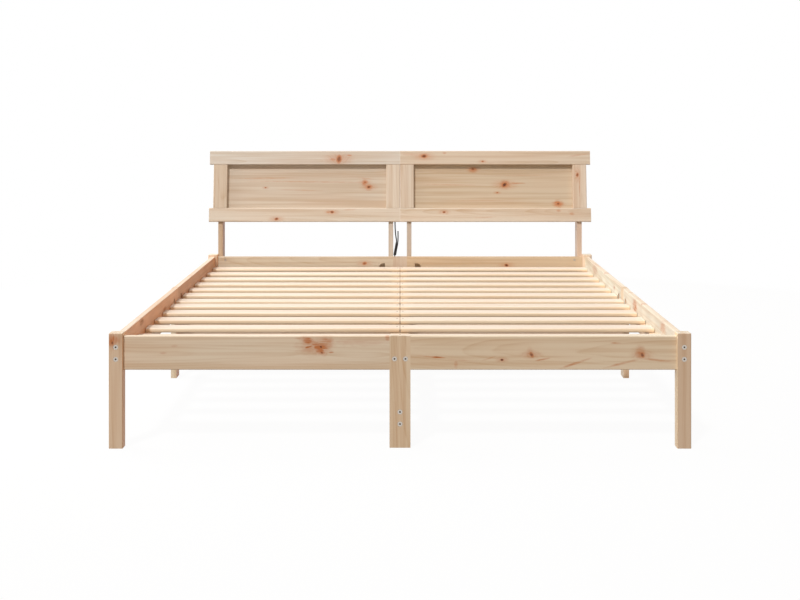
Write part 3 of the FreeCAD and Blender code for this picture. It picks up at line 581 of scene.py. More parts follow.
@dataclass(frozen=True)
class Board:
    """A pine board on a node: how it and its arms lie, its lean, what grew on it, its tones and the painted light and
    shade on its faces.

    The face is the bed's Y of the marks on a board that leans. It moves nothing on an upright board.
    """

    node: str
    cut: Cut
    lean: float = 0.0
    face: float = 0.0
    halves: bool = False
    rift: bool = False
    arms: Cut | None = None
    marks: tuple[Knot | Resin, ...] = ()
    tone: Point = (1.0, 1.0, 1.0)
    sides: tuple[PaintedLightSide, ...] = ()

    def turn(self) -> Matrix:
        """Return the rotation from the bed's axes to the board's own."""
        return Matrix(self.cut.value) @ Matrix.Rotation(math.radians(self.lean), 3, "X")

    def middle(self) -> Vector:
        """Return the centre of the board's box."""
        low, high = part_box(self.node)
        return (low + high) / 2

    def own(self, mark: Knot | Resin) -> Point:
        """Find a mark's place in the board's own axes.

        Args:
            mark: A mark on the board.

        Returns:
            Its place along and across the board, with no depth.
        """
        point = (mark.reach, self.face, mark.height)
        if self.cut is Cut.SIDE:
            point = (0.0, mark.reach, mark.height)
        own = self.turn() @ (Vector(point) - self.middle())
        return (own.x, own.y, 0.0)


class PineShop:
    """Makes each board's pine, with its own rings, knots and tone, and painted light or shade on faces that look one
    way.
    """

    FIRST_SEED = 4100
    SEEDS: Range = (0.0, 50.0)
    MARK_SEEDS: Range = (0.0, 9.0)
    HALF_SEED = 6.3
    RING_WIDTHS: Range = (0.0032, 0.0052)
    PITH_SLOPES: Range = (-0.03, 0.03)
    PITH_ASIDE: Range = (-0.04, 0.04)
    PITH_DEPTHS: Range = (0.028, 0.085)
    RIFT_PITH: Point = (0.004, 0.10, 0.12)
    ARMS_FROM = 0.0301
    END_GRAIN: Range = (0.7, 0.9)
    # How squarely a face must look a side's way before its painted light or shade shows.
    LIGHT_SIDE_RAMP: Range = (0.45, 0.95)

    def __init__(self, finish: PineFinish) -> None:
        """Keep the finish and build the shared groups."""
        self.finish = finish
        self.groups = PineGroups()

    def material(self, board: Board, number: int) -> Material:
        """Make the material of one board.

        Args:
            board: The board to dress.
            number: The board's place on the list, which sets its growth.

        Returns:
            The board's material.
        """
        draw = np.random.default_rng(self.FIRST_SEED + number)

        def drawn(limits: Range) -> float:
            """Return the next random number between two limits."""
            return float(draw.uniform(*limits))

        finish, groups = self.finish, self.groups
        material, bench, shader, point = new_material(f"pine_{board.node}")
        turn = board.turn()
        own = self.axes(bench, point, board, turn)
        grain: Feed = tuple(turn[0])
        if board.arms:
            arm = Matrix(board.arms.value)
            outside = bench.math("GREATER_THAN", bench.math("ABSOLUTE", bench.split(point)[0]), self.ARMS_FROM)
            own = bench.choose(outside, own, self.axes(bench, point, board, arm))
            grain = bench.choose(outside, grain, tuple(arm[0]))
        seed: Feed = drawn(self.SEEDS)
        if board.halves:
            right = bench.math("GREATER_THAN", bench.split(point)[0], 0.0)
            seed = bench.plus(bench.times(right, self.HALF_SEED), seed)
        knots = [
            bench.place(groups.knot, Point=own, Centre=board.own(knot), Radius=knot.radius, Turn=knot.turn,
                        Dark=knot.dark, Seed=drawn(self.MARK_SEEDS))
            for knot in board.marks if isinstance(knot, Knot)
        ]
        streaks = [
            bench.place(groups.resin, Point=own, Centre=board.own(mark), Reach=(mark.along, mark.across, 1.0),
                        Turn=mark.turn, Strength=mark.strength, Seed=drawn(self.MARK_SEEDS))
            for mark in board.marks if isinstance(mark, Resin)
        ]
        slope, aside, depth = (drawn(limits) for limits in (self.PITH_SLOPES, self.PITH_ASIDE, self.PITH_DEPTHS))
        pith = (slope, aside, depth * float(draw.choice((-1.0, 1.0))))
        figure = bench.place(groups.figure, Point=own, Seed=seed, Pith=self.RIFT_PITH if board.rift else pith,
                             Ring=drawn(self.RING_WIDTHS), Bulge=self.total(bench, knots, "Bulge"))
        normal = bench.add("ShaderNodeNewGeometry").outputs["Normal"]
        facing = bench.math("ABSOLUTE", bench.vector("DOT_PRODUCT", normal, grain))
        growth = (finish.pale, finish.quiet if board.halves else finish.late)
        early, late = (self.coloured(bench, colour, board, normal) for colour in growth)
        feeds = {name: figure.outputs[name] for name in ("Rings", "Fibre", "Tone", "Blush")}
        feeds |= {name: self.total(bench, knots, name) for name in ("Heart", "Collar", "Halo")}
        surface = bench.place(
            groups.surface, **feeds, Streaks=self.total(bench, streaks, "Streaks"),
            End=bench.smooth(facing, *self.END_GRAIN), Pale=early, Late=late, Rose=finish.rose,
            Stain=finish.stain, Core=finish.heart,
        ).outputs
        bench.fill(shader, {"Base Color": surface["Color"], "Roughness": surface["Roughness"],
                            "Specular IOR Level": finish.specular})
        bench.bump(shader, surface["Height"], finish.bump, finish.bump_depth)
        return material

    @staticmethod
    def axes(bench: NodeBench, point: Feed, board: Board, turn: Matrix) -> Socket:
        """Return a point of the bed on turned axes at a board's middle."""
        feeds = {"Vector": point, "Location": -(turn @ board.middle()), "Rotation": turn.to_euler("XYZ")}
        return bench.add("ShaderNodeMapping", feeds, vector_type="POINT").outputs[0]

    @staticmethod
    def toned(colour: Colour, tone: Point) -> Colour:
        """Return a colour with each part multiplied by a tone."""
        return (*(part * gain for part, gain in zip(colour, tone)), 1.0)

    def coloured(self, bench: NodeBench, colour: Colour, board: Board, normal: Feed) -> Feed:
        """Put a colour in a board's tone, and in a side's tone of painted light or shade where the surface looks that
        way.

        Args:
            bench: The bench of the board's material.
            colour: The wood's colour.
            board: The board.
            normal: The surface's normal.

        Returns:
            The toned colour.
        """
        feed: Feed = self.toned(colour, board.tone)
        # Painted light and shade: faces that look a listed way get a lighter or darker tone.
        for side in board.sides:
            facing = bench.vector("DOT_PRODUCT", normal, side.way.value)
            if side.both:
                facing = bench.math("ABSOLUTE", facing)
            feed = bench.mix(bench.smooth(facing, *self.LIGHT_SIDE_RAMP), feed, self.toned(colour, side.tone))
        return feed

    @staticmethod
    def total(bench: NodeBench, nodes: list[Node], output: str) -> Feed:
        """Find the largest of the same output of several nodes.

        Args:
            bench: The bench of the board's material.
            nodes: The placed groups of the board's marks.
            output: The output's name.

        Returns:
            The largest one, or 0 where nothing grew.
        """
        feed: Feed = 0.0
        for node in nodes:
            feed = bench.most(feed, node.outputs[output])
        return feed


SIDES = ("left", "right")
ENDS = ("foot", "head")
SLAT_ROWS = 13


class BedBoards:
    """The bed's boards by sub-assembly, with the marks that show on them, their tones and the painted light and shade
    on faces that look one way.
    """

    LEAN = 7.5
    LEAN_FACES = {"bottom_board": 0.9875, "top_board": 1.02, "outer_stile": 1.01, "inner_stile": 1.01, "panel": 1.023}
    MARKS: dict[str, tuple[Knot | Resin, ...]] = {
        "foot_left_leg": (Knot(-0.822, 0.302, 0.0048, 0.6), Resin(-0.819, 0.31, 0.024, 0.03, 0.75)),
        "foot_left_rail": (
            Knot(-0.2265, 0.289, 0.004, 0.9, -0.7), Knot(-0.224, 0.272, 0.0032, 0.6, -0.5),
            Resin(-0.2491, 0.2901, 0.064, 0.036, 0.55), Resin(-0.264, 0.306, 0.028, 0.017, 1.15, -0.3),
            Resin(-0.261, 0.289, 0.017, 0.0042, 1.5, 0.3), Resin(-0.234, 0.287, 0.038, 0.018, 1.15, -0.75),
            Resin(-0.215, 0.297, 0.036, 0.034, 0.8), Resin(-0.1974, 0.273, 0.012, 0.003, 1.2),
            Resin(-0.287, 0.313, 0.02, 0.005, 0.5), Resin(-0.112, 0.303, 0.12, 0.018, 0.26),
            Resin(-0.0365, 0.3135, 0.01, 0.012, 0.7), Resin(-0.647, 0.292, 0.014, 0.005, 0.35),
            Resin(-0.679, 0.2715, 0.014, 0.005, 0.35),
        ),
        "foot_right_rail": (
            Knot(0.3766, 0.2666, 0.006, 0.6, -1.0), Knot(0.694, 0.266, 0.0064, 0.65, -1.1),
            Knot(0.292, 0.252, 0.0038, 2.0), Resin(0.083, 0.261, 0.042, 0.003, 0.5, -0.085),
            Resin(0.106, 0.2592, 0.026, 0.0034, 1.8, -0.05), Resin(0.172, 0.2515, 0.055, 0.003, 0.3, -0.08),
            Resin(0.1604, 0.239, 0.008, 0.016, 0.45), Resin(0.408, 0.253, 0.03, 0.0034, 0.8, 0.18),
            Resin(0.256, 0.256, 0.03, 0.0036, 0.4, 0.3), Resin(0.501, 0.2415, 0.06, 0.005, 0.7, 0.33),
            Resin(0.688, 0.274, 0.02, 0.026, 0.6), Resin(0.636, 0.2415, 0.07, 0.005, 0.6, 0.24),
            Resin(0.737, 0.251, 0.06, 0.005, 0.55, -0.1), Resin(0.6186, 0.3, 0.02, 0.0032, 0.7),
            Resin(0.372, 0.274, 0.014, 0.02, 0.3),
        ),
        "head_left_rail": (Knot(-0.154, 0.291, 0.007, 0.5, 0.3),),
        "head_right_rail": (Knot(0.463, 0.283, 0.007, 0.9, -0.3),),
        "left_top_board": (
            Knot(-0.267, 0.7425, 0.013, 0.6, 1.45), Resin(-0.294, 0.7417, 0.016, 0.008, 0.4),
            Resin(-0.223, 0.7596, 0.016, 0.005, 0.8),
        ),
        "right_top_board": (
            Knot(0.105, 0.7555, 0.0095, 0.8, 0.1), Knot(0.362, 0.732, 0.004, 0.45),
            Resin(0.105, 0.757, 0.03, 0.014, 0.45), Resin(0.04, 0.764, 0.05, 0.01, 0.3),
            Resin(0.195, 0.769, 0.014, 0.006, 0.6), Resin(0.78, 0.76, 0.06, 0.006, 0.35, 0.15),
        ),
        "left_panel": (
            Knot(-0.137, 0.62, 0.0075, 0.8, 0.2), Knot(-0.1536, 0.641, 0.0055, 0.35), Knot(-0.589, 0.617, 0.003, 0.6),
            Resin(-0.137, 0.62, 0.022, 0.02, 0.55), Resin(-0.154, 0.639, 0.018, 0.022, 0.6),
            Resin(-0.4, 0.643, 0.38, 0.005, 0.4, -0.01), Resin(-0.577, 0.659, 0.2, 0.005, 0.35, 0.01),
            Resin(-0.43, 0.606, 0.14, 0.004, 0.3, -0.03), Resin(-0.15, 0.658, 0.05, 0.004, 0.4, -0.1),
        ),
        "right_panel": (
            Knot(0.458, 0.63, 0.011, 0.9, 0.7), Knot(0.426, 0.595, 0.0034, 0.3), Knot(0.32, 0.699, 0.0065, 0.6),
            Knot(0.692, 0.546, 0.006, 0.7, 0.3), Resin(0.46, 0.631, 0.03, 0.026, 0.62),
            Resin(0.515, 0.637, 0.05, 0.004, 0.7), Resin(0.692, 0.546, 0.03, 0.024, 0.7),
            Resin(0.32, 0.696, 0.026, 0.018, 0.5), Resin(0.23, 0.63, 0.18, 0.005, 0.3, -0.02),
            Resin(0.56, 0.672, 0.2, 0.004, 0.25, 0.01), Resin(0.33, 0.56, 0.22, 0.004, 0.22, 0.01),
        ),
        "left_bottom_board": (
            Knot(-0.538, 0.483, 0.0065, 0.8, 0.2), Knot(-0.296, 0.513, 0.0065, 0.8),
            Resin(-0.314, 0.513, 0.014, 0.006, 0.5), Resin(-0.22, 0.523, 0.04, 0.004, 0.4, 0.05),
        ),
        "right_outer_stile": (Knot(0.7755, 0.674, 0.0065, 0.6, 0.2), Resin(0.784, 0.62, 0.055, 0.004, 0.6)),
        "right_bottom_board": (
            Knot(0.192, 0.513, 0.0052, 0.8), Resin(0.691, 0.52, 0.014, 0.009, 0.6),
            Resin(0.749, 0.506, 0.016, 0.009, 0.6), Resin(0.37, 0.49, 0.06, 0.005, 0.3, 0.05),
        ),
        "right_head_side_rail": (
            Knot(0.1515, 0.297, 0.005, 0.7), Resin(0.664, 0.302, 0.11, 0.03, 0.5),
            Resin(0.404, 0.3225, 0.024, 0.01, 0.6),
        ),
        "left_foot_side_rail": (Resin(-0.7185, 0.308, 0.044, 0.015, 1.14), Resin(-0.305, 0.283, 0.046, 0.015, 1.1)),
        "left_head_side_rail": (Resin(0.33, 0.3225, 0.018, 0.01, 0.35),),
        "right_foot_side_rail": (
            Resin(-0.298, 0.294, 0.06, 0.034, 0.95), Resin(-0.795, 0.301, 0.062, 0.026, 0.7),
            Resin(-0.155, 0.3225, 0.018, 0.008, 0.6), Resin(-0.4245, 0.3215, 0.014, 0.009, 0.8),
        ),
    }
    SLAT_TONE: Point = (0.98, 1.08, 1.20)
    # Painted light: the slats' front and back faces are lighter and warmer than their tops' wood, standing in for the
    # light on them.
    SLAT_EDGE_LIGHT = PaintedLightSide(Way.FRONT, (1.11, 1.155, 1.11), True)
    # Painted light: the tops of legs and rails get their own lighter, paler tone, as light from above shows them; the
    # left rails' and left middle leg's tops get a cooler tone.
    LEG_TOP_LIGHT = PaintedLightSide(Way.UP, (1.02, 1.25, 1.44))
    RAIL_TOP_LIGHT = PaintedLightSide(Way.UP, (1.01, 1.12, 1.18))
    LEFT_TOP_LIGHT = PaintedLightSide(Way.UP, (0.94, 0.97, 1.01))
    # Painted light and shade by face: faces that look away from the lamps, such as the inner sides of the left rails,
    # left legs and left outer post, are darker and more orange; faces that look towards them, such as the inner sides
    # of the right rails and right legs, are lighter and paler.
    LIT_AND_SHADED_FACES: dict[str, tuple[PaintedLightSide, ...]] = {
        "left_foot_side_rail": (PaintedLightSide(Way.RIGHT, (1.12, 0.74, 0.54)), LEFT_TOP_LIGHT),
        "left_head_side_rail": (PaintedLightSide(Way.RIGHT, (0.88, 0.55, 0.37)), LEFT_TOP_LIGHT),
        "right_foot_side_rail": (PaintedLightSide(Way.LEFT, (1.01, 1.21, 1.36)), RAIL_TOP_LIGHT),
        "right_head_side_rail": (PaintedLightSide(Way.LEFT, (1.00, 1.24, 1.40)), RAIL_TOP_LIGHT),
        "left_middle_leg": (PaintedLightSide(Way.RIGHT, (1.00, 0.66, 0.48)), LEFT_TOP_LIGHT),
        "right_middle_leg": (PaintedLightSide(Way.LEFT, (1.02, 1.10, 1.10)), RAIL_TOP_LIGHT),
        "foot_left_leg": (PaintedLightSide(Way.RIGHT, (1.12, 0.85, 0.61)), LEG_TOP_LIGHT),
        "foot_right_leg": (PaintedLightSide(Way.LEFT, (1.19, 1.20, 1.09)), LEG_TOP_LIGHT),
        "head_left_leg": (PaintedLightSide(Way.RIGHT, (1.20, 0.92, 0.76)), LEG_TOP_LIGHT),
        "head_right_leg": (LEG_TOP_LIGHT,),
        "left_outer_post": (PaintedLightSide(Way.RIGHT, (0.64, 0.41, 0.29)),),
        # Painted light: the foot rails' tops are lighter and paler than their fronts.
        "foot_left_rail": (PaintedLightSide(Way.UP, (1.02, 1.16, 1.23)),),
        "foot_right_rail": (PaintedLightSide(Way.UP, (1.00, 1.14, 1.18)),),
        "foot_centre_leg": (LEG_TOP_LIGHT,),
    }
    TONES: dict[str, Point] = {
        "foot_left_leg": (0.94, 0.94, 0.91),
        "foot_right_leg": (0.85, 0.81, 0.76),
        "foot_centre_leg": (0.94, 0.95, 0.89),
        "foot_left_rail": (0.97, 1.03, 1.04),
        "foot_right_rail": (0.95, 0.98, 0.94),
        "left_top_board": (0.82, 0.95, 1.10),
        "right_top_board": (0.82, 0.87, 0.90),
        "left_bottom_board": (0.84, 0.92, 0.99),
        "right_bottom_board": (0.87, 0.94, 0.99),
        "left_outer_stile": (0.75, 0.78, 0.79),
        "left_inner_stile": (0.86, 0.93, 1.00),
        "right_inner_stile": (0.82, 0.87, 0.92),
        "right_outer_stile": (0.90, 0.95, 1.00),
        "left_panel": (0.77, 0.83, 0.88),
        "right_panel": (0.76, 0.78, 0.75),
        "left_outer_post": (0.70, 0.64, 0.57),
        "left_inner_post": (0.79, 0.88, 0.99),
        "right_inner_post": (0.74, 0.81, 0.91),
        "right_outer_post": (0.84, 0.80, 0.81),
        "head_left_rail": (0.78, 0.84, 0.85),
        "head_right_rail": (0.82, 0.81, 0.73),
        "left_middle_leg": (1.03, 1.11, 1.09),
        # Painted shade: the centre beams are much darker than the other wood, standing in for the shade that they lie
        # in between the slats.
        **{f"{end}_centre_beam": (0.62, 0.60, 0.56) for end in ENDS},
        "right_middle_leg": (1.02, 0.97, 0.89),
        **{f"{side}_{end}_side_rail": (1.00, 0.96, 0.92) for side in SIDES for end in ENDS},
        "head_centre_leg": (0.79, 0.82, 0.85),
    }

    def board(self, node: str, cut: Cut, **traits: object) -> Board:
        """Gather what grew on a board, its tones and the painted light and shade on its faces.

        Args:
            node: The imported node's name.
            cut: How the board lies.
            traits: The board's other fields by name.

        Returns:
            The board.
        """
        slat = traits.get("halves", False)
        return Board(
            node, cut, marks=self.MARKS.get(node, ()),
            tone=self.TONES.get(node, self.SLAT_TONE if slat else Board.tone),
            sides=self.LIT_AND_SHADED_FACES.get(node, (self.SLAT_EDGE_LIGHT,) if slat else ()), **traits,
        )

    def leaning(self, side: str, place: str, cut: Cut, rift: bool = False) -> Board:
        """Return a board of the headboard's leaning frame on one side."""
        return self.board(f"{side}_{place}", cut, lean=self.LEAN, face=self.LEAN_FACES[place], rift=rift)

    def frame(self) -> list[Board]:
        """List the bed's frame.

        Returns:
            The legs, rails, ledgers, props and beam.
        """
        boards = []
        for end in ENDS:
            boards += [self.board(f"{end}_{side}_leg", Cut.UPRIGHT) for side in SIDES]
            boards += [self.board(f"{end}_{side}_rail", Cut.RAIL) for side in SIDES]
            boards += [self.board(f"{side}_{end}_side_rail", Cut.SIDE) for side in SIDES]
            boards.append(self.board(f"{end}_centre_leg", Cut.UPRIGHT))
            boards.append(self.board(f"{end}_prop", Cut.POST))
            boards.append(self.board(f"{end}_centre_beam", Cut.BEAM))
        for side in SIDES:
            boards.append(self.board(f"{side}_middle_leg", Cut.POST))
            boards.append(self.board(f"{side}_ledgers", Cut.SIDE))
        boards.append(self.board("beam_leg", Cut.UPRIGHT, arms=Cut.RAIL))
        return boards

    def slats(self) -> list[Board]:
        """Return the rows of half slats."""
        return [self.board(f"slat_row_{row:02d}", Cut.FLAT, halves=True) for row in range(1, SLAT_ROWS + 1)]

    def headboard(self) -> list[Board]:
        """List the headboard.

        Returns:
            The posts and the leaning boards, stiles and panels.
        """
        boards = []
        for side in SIDES:
            boards += [self.board(f"{side}_{place}_post", Cut.POST) for place in ("outer", "inner")]
            boards += [self.leaning(side, place, Cut.RAIL) for place in ("bottom_board", "top_board")]
            boards += [self.leaning(side, place, Cut.UPRIGHT) for place in ("outer_stile", "inner_stile")]
            boards.append(self.leaning(side, "panel", Cut.RAIL, rift=True))
        return boards

    def dress(self, nodes: dict[str, Piece]) -> None:
        """Give every board its pine.

        Args:
            nodes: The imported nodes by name.
        """
        shop = PineShop(PineFinish())
        for number, board in enumerate(self.frame() + self.slats() + self.headboard()):
            dress(nodes[board.node], shop.material(board, number))
            LOG.info("dressed %s", board.node)


@dataclass
class SlatScrews:
    """Countersunk screw heads that hold the slats' inner ends to the beam.

    A head's profile is given as shares of its radius, of how proud it stands and of its recess.
    """

    aside: float = 0.0095
    radius: float = 0.0034
    proud: float = 0.0003
    recess: float = 0.0011
    spokes: int = 16
    lobes: float = 4.0
    swell: float = 0.35

    REACHES = (1.0, 0.97, 0.62, 0.34, 0.0)
    RISES = (0.0, 0.0, 1.0, 0.8, 0.0)
    FALLS = (1.0, 0.0, 0.0, 0.0, 0.6)
    SOCKET_RING = 3

    def head(self) -> tuple[np.ndarray, np.ndarray]:
        """Make one head as a turned surface about Z.

        The profile runs from the rim under the wood, over a low dome and down into a cross-shaped
        socket, whose radius swells four times round.

        Returns:
            Points of the grid and its quads.
        """
        rings = len(self.REACHES)
        reach = np.array(self.REACHES) * self.radius
        height = np.array(self.RISES) * self.proud - np.array(self.FALLS) * self.recess
        turn = np.linspace(0.0, 2.0 * np.pi, self.spokes, endpoint=False)
        socket = (np.arange(rings) == self.SOCKET_RING)[:, None]
        wide = reach[:, None] * (1.0 + self.swell * np.cos(self.lobes * turn) * socket)
        points = np.stack(
            [wide * np.cos(turn), wide * np.sin(turn), np.broadcast_to(height[:, None], wide.shape)], axis=-1)
        ring, spoke = np.meshgrid(np.arange(rings - 1), np.arange(self.spokes), indexing="ij")
        after = (spoke + 1) % self.spokes
        quads = np.stack([ring * self.spokes + spoke, ring * self.spokes + after,
                          (ring + 1) * self.spokes + after, (ring + 1) * self.spokes + spoke], axis=-1)
        return points.reshape(-1, 3), quads.reshape(-1, 4)

    def build(self, finish: Material) -> None:
        """Make all the heads as one piece on the slats' tops.

        Args:
            finish: The metal of the screws.
        """
        points, quads = self.head()
        spots = []
        for row in range(1, SLAT_ROWS + 1):
            low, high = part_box(f"slat_row_{row:02d}")
            spots += [(way * self.aside, (low.y + high.y) / 2, high.z) for way in (-1.0, 1.0)]
        spread = np.array(spots)
        every = (spread[:, None, :] + points[None, :, :]).reshape(-1, 3)
        faces = (np.arange(len(spread))[:, None, None] * len(points) + quads[None, :, :]).reshape(-1, 4)
        mesh = bpy.data.meshes.new("slat_screws")
        mesh.from_pydata(every.tolist(), [], faces.tolist())
        mesh.shade_smooth()
        piece = show("slat_screws", mesh)
        dress(piece, finish)
        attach(piece, BODY)


@dataclass
class Lead:
    """The black lead that hangs between the middle posts and lies coiled on the floor behind them."""

    diameter: float = 0.005
    coil_inner: float = 0.0195
    coil_pitch: float = 0.0056
    coil_dip: float = 0.001
    turns_in: float = 3.0
    turn_back: float = 0.5
    turns_out: float = 2.5
    first_turn: float = -0.25
    points_per_turn: int = 16
    tail: float = 0.024
    descent: float = 0.040
    ease_from: float = 0.3
    ease_to: float = 0.7
    plug_middle: float = 0.004
    plug_tongue: float = 0.0131

    UPPER = (
        (-0.022, 1.011523, 0.488492), (-0.022, 1.008129, 0.462714), (-0.0206, 1.0080, 0.4280),
        (-0.0182, 1.0107, 0.4050), (-0.014473, 1.0125, 0.384942), (-0.015931, 1.0125, 0.377076),
    )
    SENSOR = (
        (-0.010228, 1.0125, 0.376019), (-0.00877, 1.0125, 0.383885), (-0.0084, 1.0131, 0.4070),
        (-0.0088, 1.0127, 0.4280),
    )
    LOWER = (
        (-0.02292, 1.0125, 0.323452), (-0.025107, 1.0125, 0.311653), (-0.0248, 1.0119, 0.2900),
        (-0.0225, 1.0105, 0.2500), (-0.0206, 1.0089, 0.2000), (-0.0200, 1.0071, 0.1450),
        (-0.0205, 1.0053, 0.1050), (-0.0218, 1.0039, 0.0740), (-0.0215, 1.0031, 0.0520),
        (-0.0208, 1.0025, 0.0328), (-0.0151, 1.0017, 0.0189), (-0.0045, 1.0009, 0.0083),
        (0.0094, 1.0001, 0.0026), (0.0280, 0.9977, 0.0026), (0.0500, 0.9929, 0.0026),
        (0.0660, 0.9910, 0.0026), (0.0820, 0.9910, 0.0026),
    )

    def coil(self) -> list[Point]:
        """Lay the coil: a spiral in, a half turn that climbs a layer, and a spiral out.

        The radius falls by a pitch each turn, dips and then grows again. The points stand out from the
        line by as much as a quadratic spline cuts inside points on a circle.

        Returns:
            The points from the coil's start to the plug.
        """
        total = self.turns_in + self.turn_back + self.turns_out
        turn = np.arange(1, round(total * self.points_per_turn) + 1) / self.points_per_turn
        back = np.clip((turn - self.turns_in) / self.turn_back, 0.0, 1.0)
        outward = np.maximum(turn - self.turns_in - self.turn_back, 0.0)
        inward = np.maximum(self.turns_in - turn, 0.0)
        radius = self.coil_inner + self.coil_pitch * (inward + outward) - self.coil_dip * np.sin(np.pi * back)
        stand = 1.0 / (0.75 + 0.25 * math.cos(2.0 * math.pi / self.points_per_turn))
        angle = (turn + self.first_turn) * 2.0 * np.pi
        start_x, start_y, start_z = self.LOWER[-1]
        across = start_x + self.diameter + stand * radius * np.cos(angle)
        along = start_y + self.coil_inner + self.coil_pitch * self.turns_in + stand * radius * np.sin(angle)
        height = start_z + self.coil_pitch * (1.0 - np.cos(np.pi * back)) / 2.0
        line = np.stack([across, along, height], axis=-1).tolist()
        x, y, z = line[-1]
        x += self.tail
        floor = x + self.descent
        end = [
            (x, y, z), (x + self.descent * self.ease_from, y, z),
            (x + self.descent * self.ease_to, y, self.plug_middle),
            (floor, y, self.plug_middle), (floor + self.diameter, y, self.plug_middle),
        ]
        return [tuple(point) for point in line] + end

    def spline(self, name: str, points: list[Point], finish: Material) -> Piece:
        """Make one cord as a smooth spline with a round section.

        Args:
            name: The piece's name.
            points: The route's points.
            finish: The sheath's material.

        Returns:
            The cord.
        """
        curve = bpy.data.curves.new(name, "CURVE")
        curve.dimensions = "3D"
        line = curve.splines.new("NURBS")
        line.points.add(len(points) - 1)
        line.points.foreach_set("co", np.column_stack([np.array(points), np.ones(len(points))]).ravel())
        line.order_u = 3
        line.use_endpoint_u = True
        line.resolution_u = 8
        curve.bevel_depth = self.diameter / 2
        curve.bevel_resolution = 5
        curve.use_fill_caps = True
        piece = show(name, curve)
        dress(piece, finish)
        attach(piece, BODY)
        return piece

    def build(self, nodes: dict[str, Piece]) -> None:
        """Draw the three cords, and dress the pieces on them.

        Args:
            nodes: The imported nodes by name.
        """
        sheath = BlackFinish().make("cable_sheath")
        shell = BlackFinish(dark=srgb(26, 26, 28), worn=srgb(58, 58, 62), rough=(0.3, 0.45))
        housing = shell.make("black_housing")
        for node in ("lead_holder", "controller"):
            dress(nodes[node], housing)
        dress(nodes["plug"], self.plug_material(shell))
        upper = self.spline("upper_cord", list(self.UPPER), sheath)
        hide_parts("lead_upper")
        sensor = self.spline("sensor_cord", list(self.SENSOR), sheath)
        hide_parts("sensor_lead")
        lower = self.spline("lower_cord", list(self.LOWER) + self.coil(), sheath)
        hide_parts("lead_lower", "lead_coil")
        LOG.info("drew the lead")

    def plug_material(self, shell: BlackFinish) -> Material:
        """Make the plug's plastic, with bare metal on the narrow tongue past its body.

        Args:
            shell: The plastic.

        Returns:
            The material.
        """
        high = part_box("plug")[1]
        material = shell.make("plug_body")
        bench = NodeBench(material.node_tree)
        shader = bench.find("BSDF_PRINCIPLED")
        point = bench.add("ShaderNodeTexCoord").outputs["Object"]
        metal = bench.math("GREATER_THAN", bench.split(point)[0], high.x - self.plug_tongue)
        plastic = shader.inputs["Base Color"].links[0].from_socket
        bench.fill(shader, {"Base Color": bench.mix(metal, plastic, ZincFinish().bright), "Metallic": metal})
        return material


@dataclass(frozen=True)
class Lamp:
    """A square soft lamp: its place, the point that it faces, the length of its sides and its watts."""

    name: str
    at: Point
    aim: Point
    side: float
    power: float

    def hang(self) -> None:
        """Hang the lamp in the scene."""
        data = bpy.data.lights.new(self.name, "AREA")
        data.size = self.side
        data.energy = self.power
        piece = show(self.name, data)
        piece.location = self.at
        piece.rotation_euler = (Vector(self.aim) - Vector(self.at)).to_track_quat("-Z", "Y").to_euler()


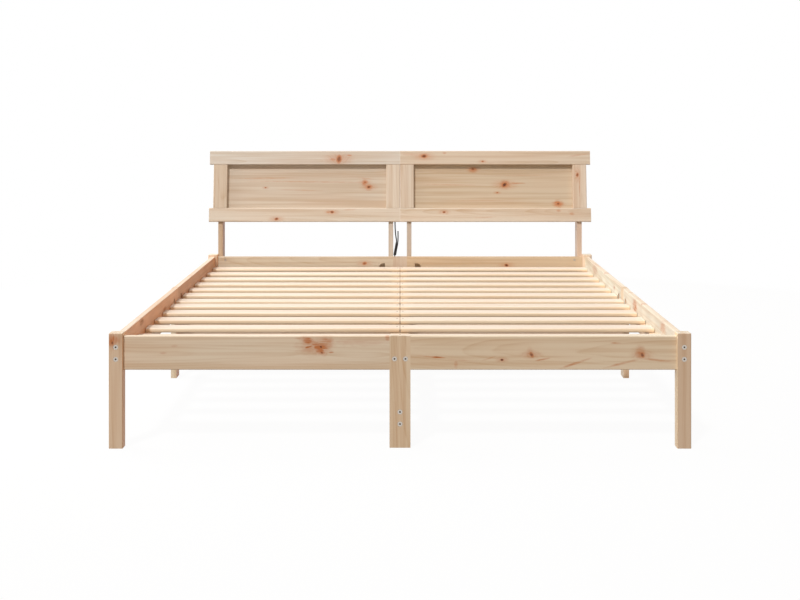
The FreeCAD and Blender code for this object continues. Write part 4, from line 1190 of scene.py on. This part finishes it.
@dataclass
class Studio:
    """The camera, the lamps and the pale floor.

    The floor's two shades and its two glows are for light out of sight and for what the camera sees.
    """

    camera_at: Point = (0.0, -4.9665, 0.986)
    lens: float = 61.5
    sensor: float = 36.0
    horizon: float = 103.5
    floor_side: float = 60.0
    floor_drop: float = 0.0004
    floor_rough: float = 0.9
    floor_shades: Range = (0.22, 0.85)
    floor_glows: Range = (0.16, 0.95)
    floor_far: Range = (1.5, 3.2)
    fill: float = 0.19
    fill_tint: Colour = (1.0, 0.73, 0.52, 1.0)
    white: Colour = (1.0, 1.0, 1.0, 1.0)
    backdrop: float = 0.9
    sun_towards: Point = (-0.27, -0.60, 0.755)
    sun_strength: float = 2.1
    sun_angle: float = 6.0

    LAMPS = (
        Lamp("overhead", (0.0, -0.2, 3.2), (0.0, -0.2, 0.0), 4.0, 46.0),
        Lamp("left", (-3.6, 0.9, 2.2), (0.3, -0.1, 0.3), 3.0, 115.0),
    )

    def camera(self) -> None:
        """Set up the level camera, shifted down so that its horizon is high in the frame."""
        data = bpy.data.cameras.new("camera")
        data.sensor_fit = "HORIZONTAL"
        data.sensor_width = self.sensor
        data.lens = self.lens
        data.shift_y = -(PHOTO_HEIGHT / 2 - self.horizon) / PHOTO_WIDTH
        piece = show("camera", data)
        piece.location = self.camera_at
        piece.rotation_euler = (math.radians(90.0), 0.0, 0.0)
        bpy.context.scene.camera = piece

    def sun(self) -> None:
        """Set the far key lamp, whose shadows are nearly sharp."""
        data = bpy.data.lights.new("key", "SUN")
        data.energy = self.sun_strength
        data.angle = math.radians(self.sun_angle)
        show("key", data).rotation_euler = Vector(self.sun_towards).to_track_quat("Z", "Y").to_euler()

    @staticmethod
    def sight(bench: NodeBench) -> tuple[Socket, Socket]:
        """Return whether a ray is the camera's, and whether a mirror or glass has passed it on."""
        path = bench.add("ShaderNodeLightPath").outputs
        return path["Is Camera Ray"], bench.most(path["Is Glossy Ray"], path["Is Transmission Ray"])

    def world(self) -> None:
        """Fill the room with even light, behind a white backdrop."""
        world = bpy.data.worlds.new("studio")
        world.use_nodes = True
        bpy.context.scene.world = world
        bench = NodeBench(world.node_tree)
        direct, passed = self.sight(bench)
        seen = bench.most(direct, bench.times(passed, self.backdrop))
        bench.fill(bench.find("BACKGROUND"), {"Color": bench.mix(seen, self.fill_tint, self.white),
                                              "Strength": bench.most(seen, self.fill)})

    def floor(self) -> None:
        """Lay the pale floor, which is near white to the camera, keeps a soft shadow and has no far edge."""
        half = self.floor_side / 2
        corner = np.array([[-half, -half], [half, -half], [half, half], [-half, half]])
        points = np.column_stack([corner, np.full(4, -self.floor_drop)])
        mesh = bpy.data.meshes.new("floor")
        mesh.from_pydata(points.tolist(), [], [(0, 1, 2, 3)])
        piece = show("floor", mesh)
        material, bench, shader, point = new_material("pale_floor")
        seen = bench.most(*self.sight(bench))
        bench.fill(shader, {"Base Color": bench.spread(seen, *self.floor_shades),
                            "Roughness": self.floor_rough, "Specular IOR Level": 0.0})
        white = bench.add("ShaderNodeEmission", {"Color": bench.mix(seen, self.fill_tint, self.white)})
        far = bench.smooth(bench.vector("LENGTH", point), *self.floor_far)
        glow = bench.most(bench.spread(seen, *self.floor_glows), bench.times(seen, far))
        blend = bench.add("ShaderNodeMixShader", {0: glow, 1: shader.outputs[0], 2: white.outputs[0]})
        bench.fill(bench.find("OUTPUT_MATERIAL"), {"Surface": blend.outputs[0]})
        dress(piece, material)

    def build(self) -> None:
        """Set up the whole studio."""
        bpy.context.scene.view_settings.view_transform = "Standard"
        self.camera()
        self.world()
        self.floor()
        self.sun()
        for lamp in self.LAMPS:
            lamp.hang()


def main() -> None:
    """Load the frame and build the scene's classes in order."""
    logging.basicConfig(level=logging.INFO, format="%(message)s")
    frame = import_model()
    nodes = frame["nodes"]
    Studio().build()
    Lead().build(nodes)
    BedBoards().dress(nodes)
    zinc = ZincFinish().make("zinc_steel")
    for node in ("joint_bolts", "barrel_nuts", "tie_studs"):
        dress(nodes[node], zinc)
    dark_zinc = ZincFinish(bright=srgb(150, 132, 100), dull=srgb(92, 78, 58))
    SlatScrews().build(dark_zinc.make("dark_zinc"))
    LOG.info("fixed the slat screws")


if __name__ == "__main__":
    main()
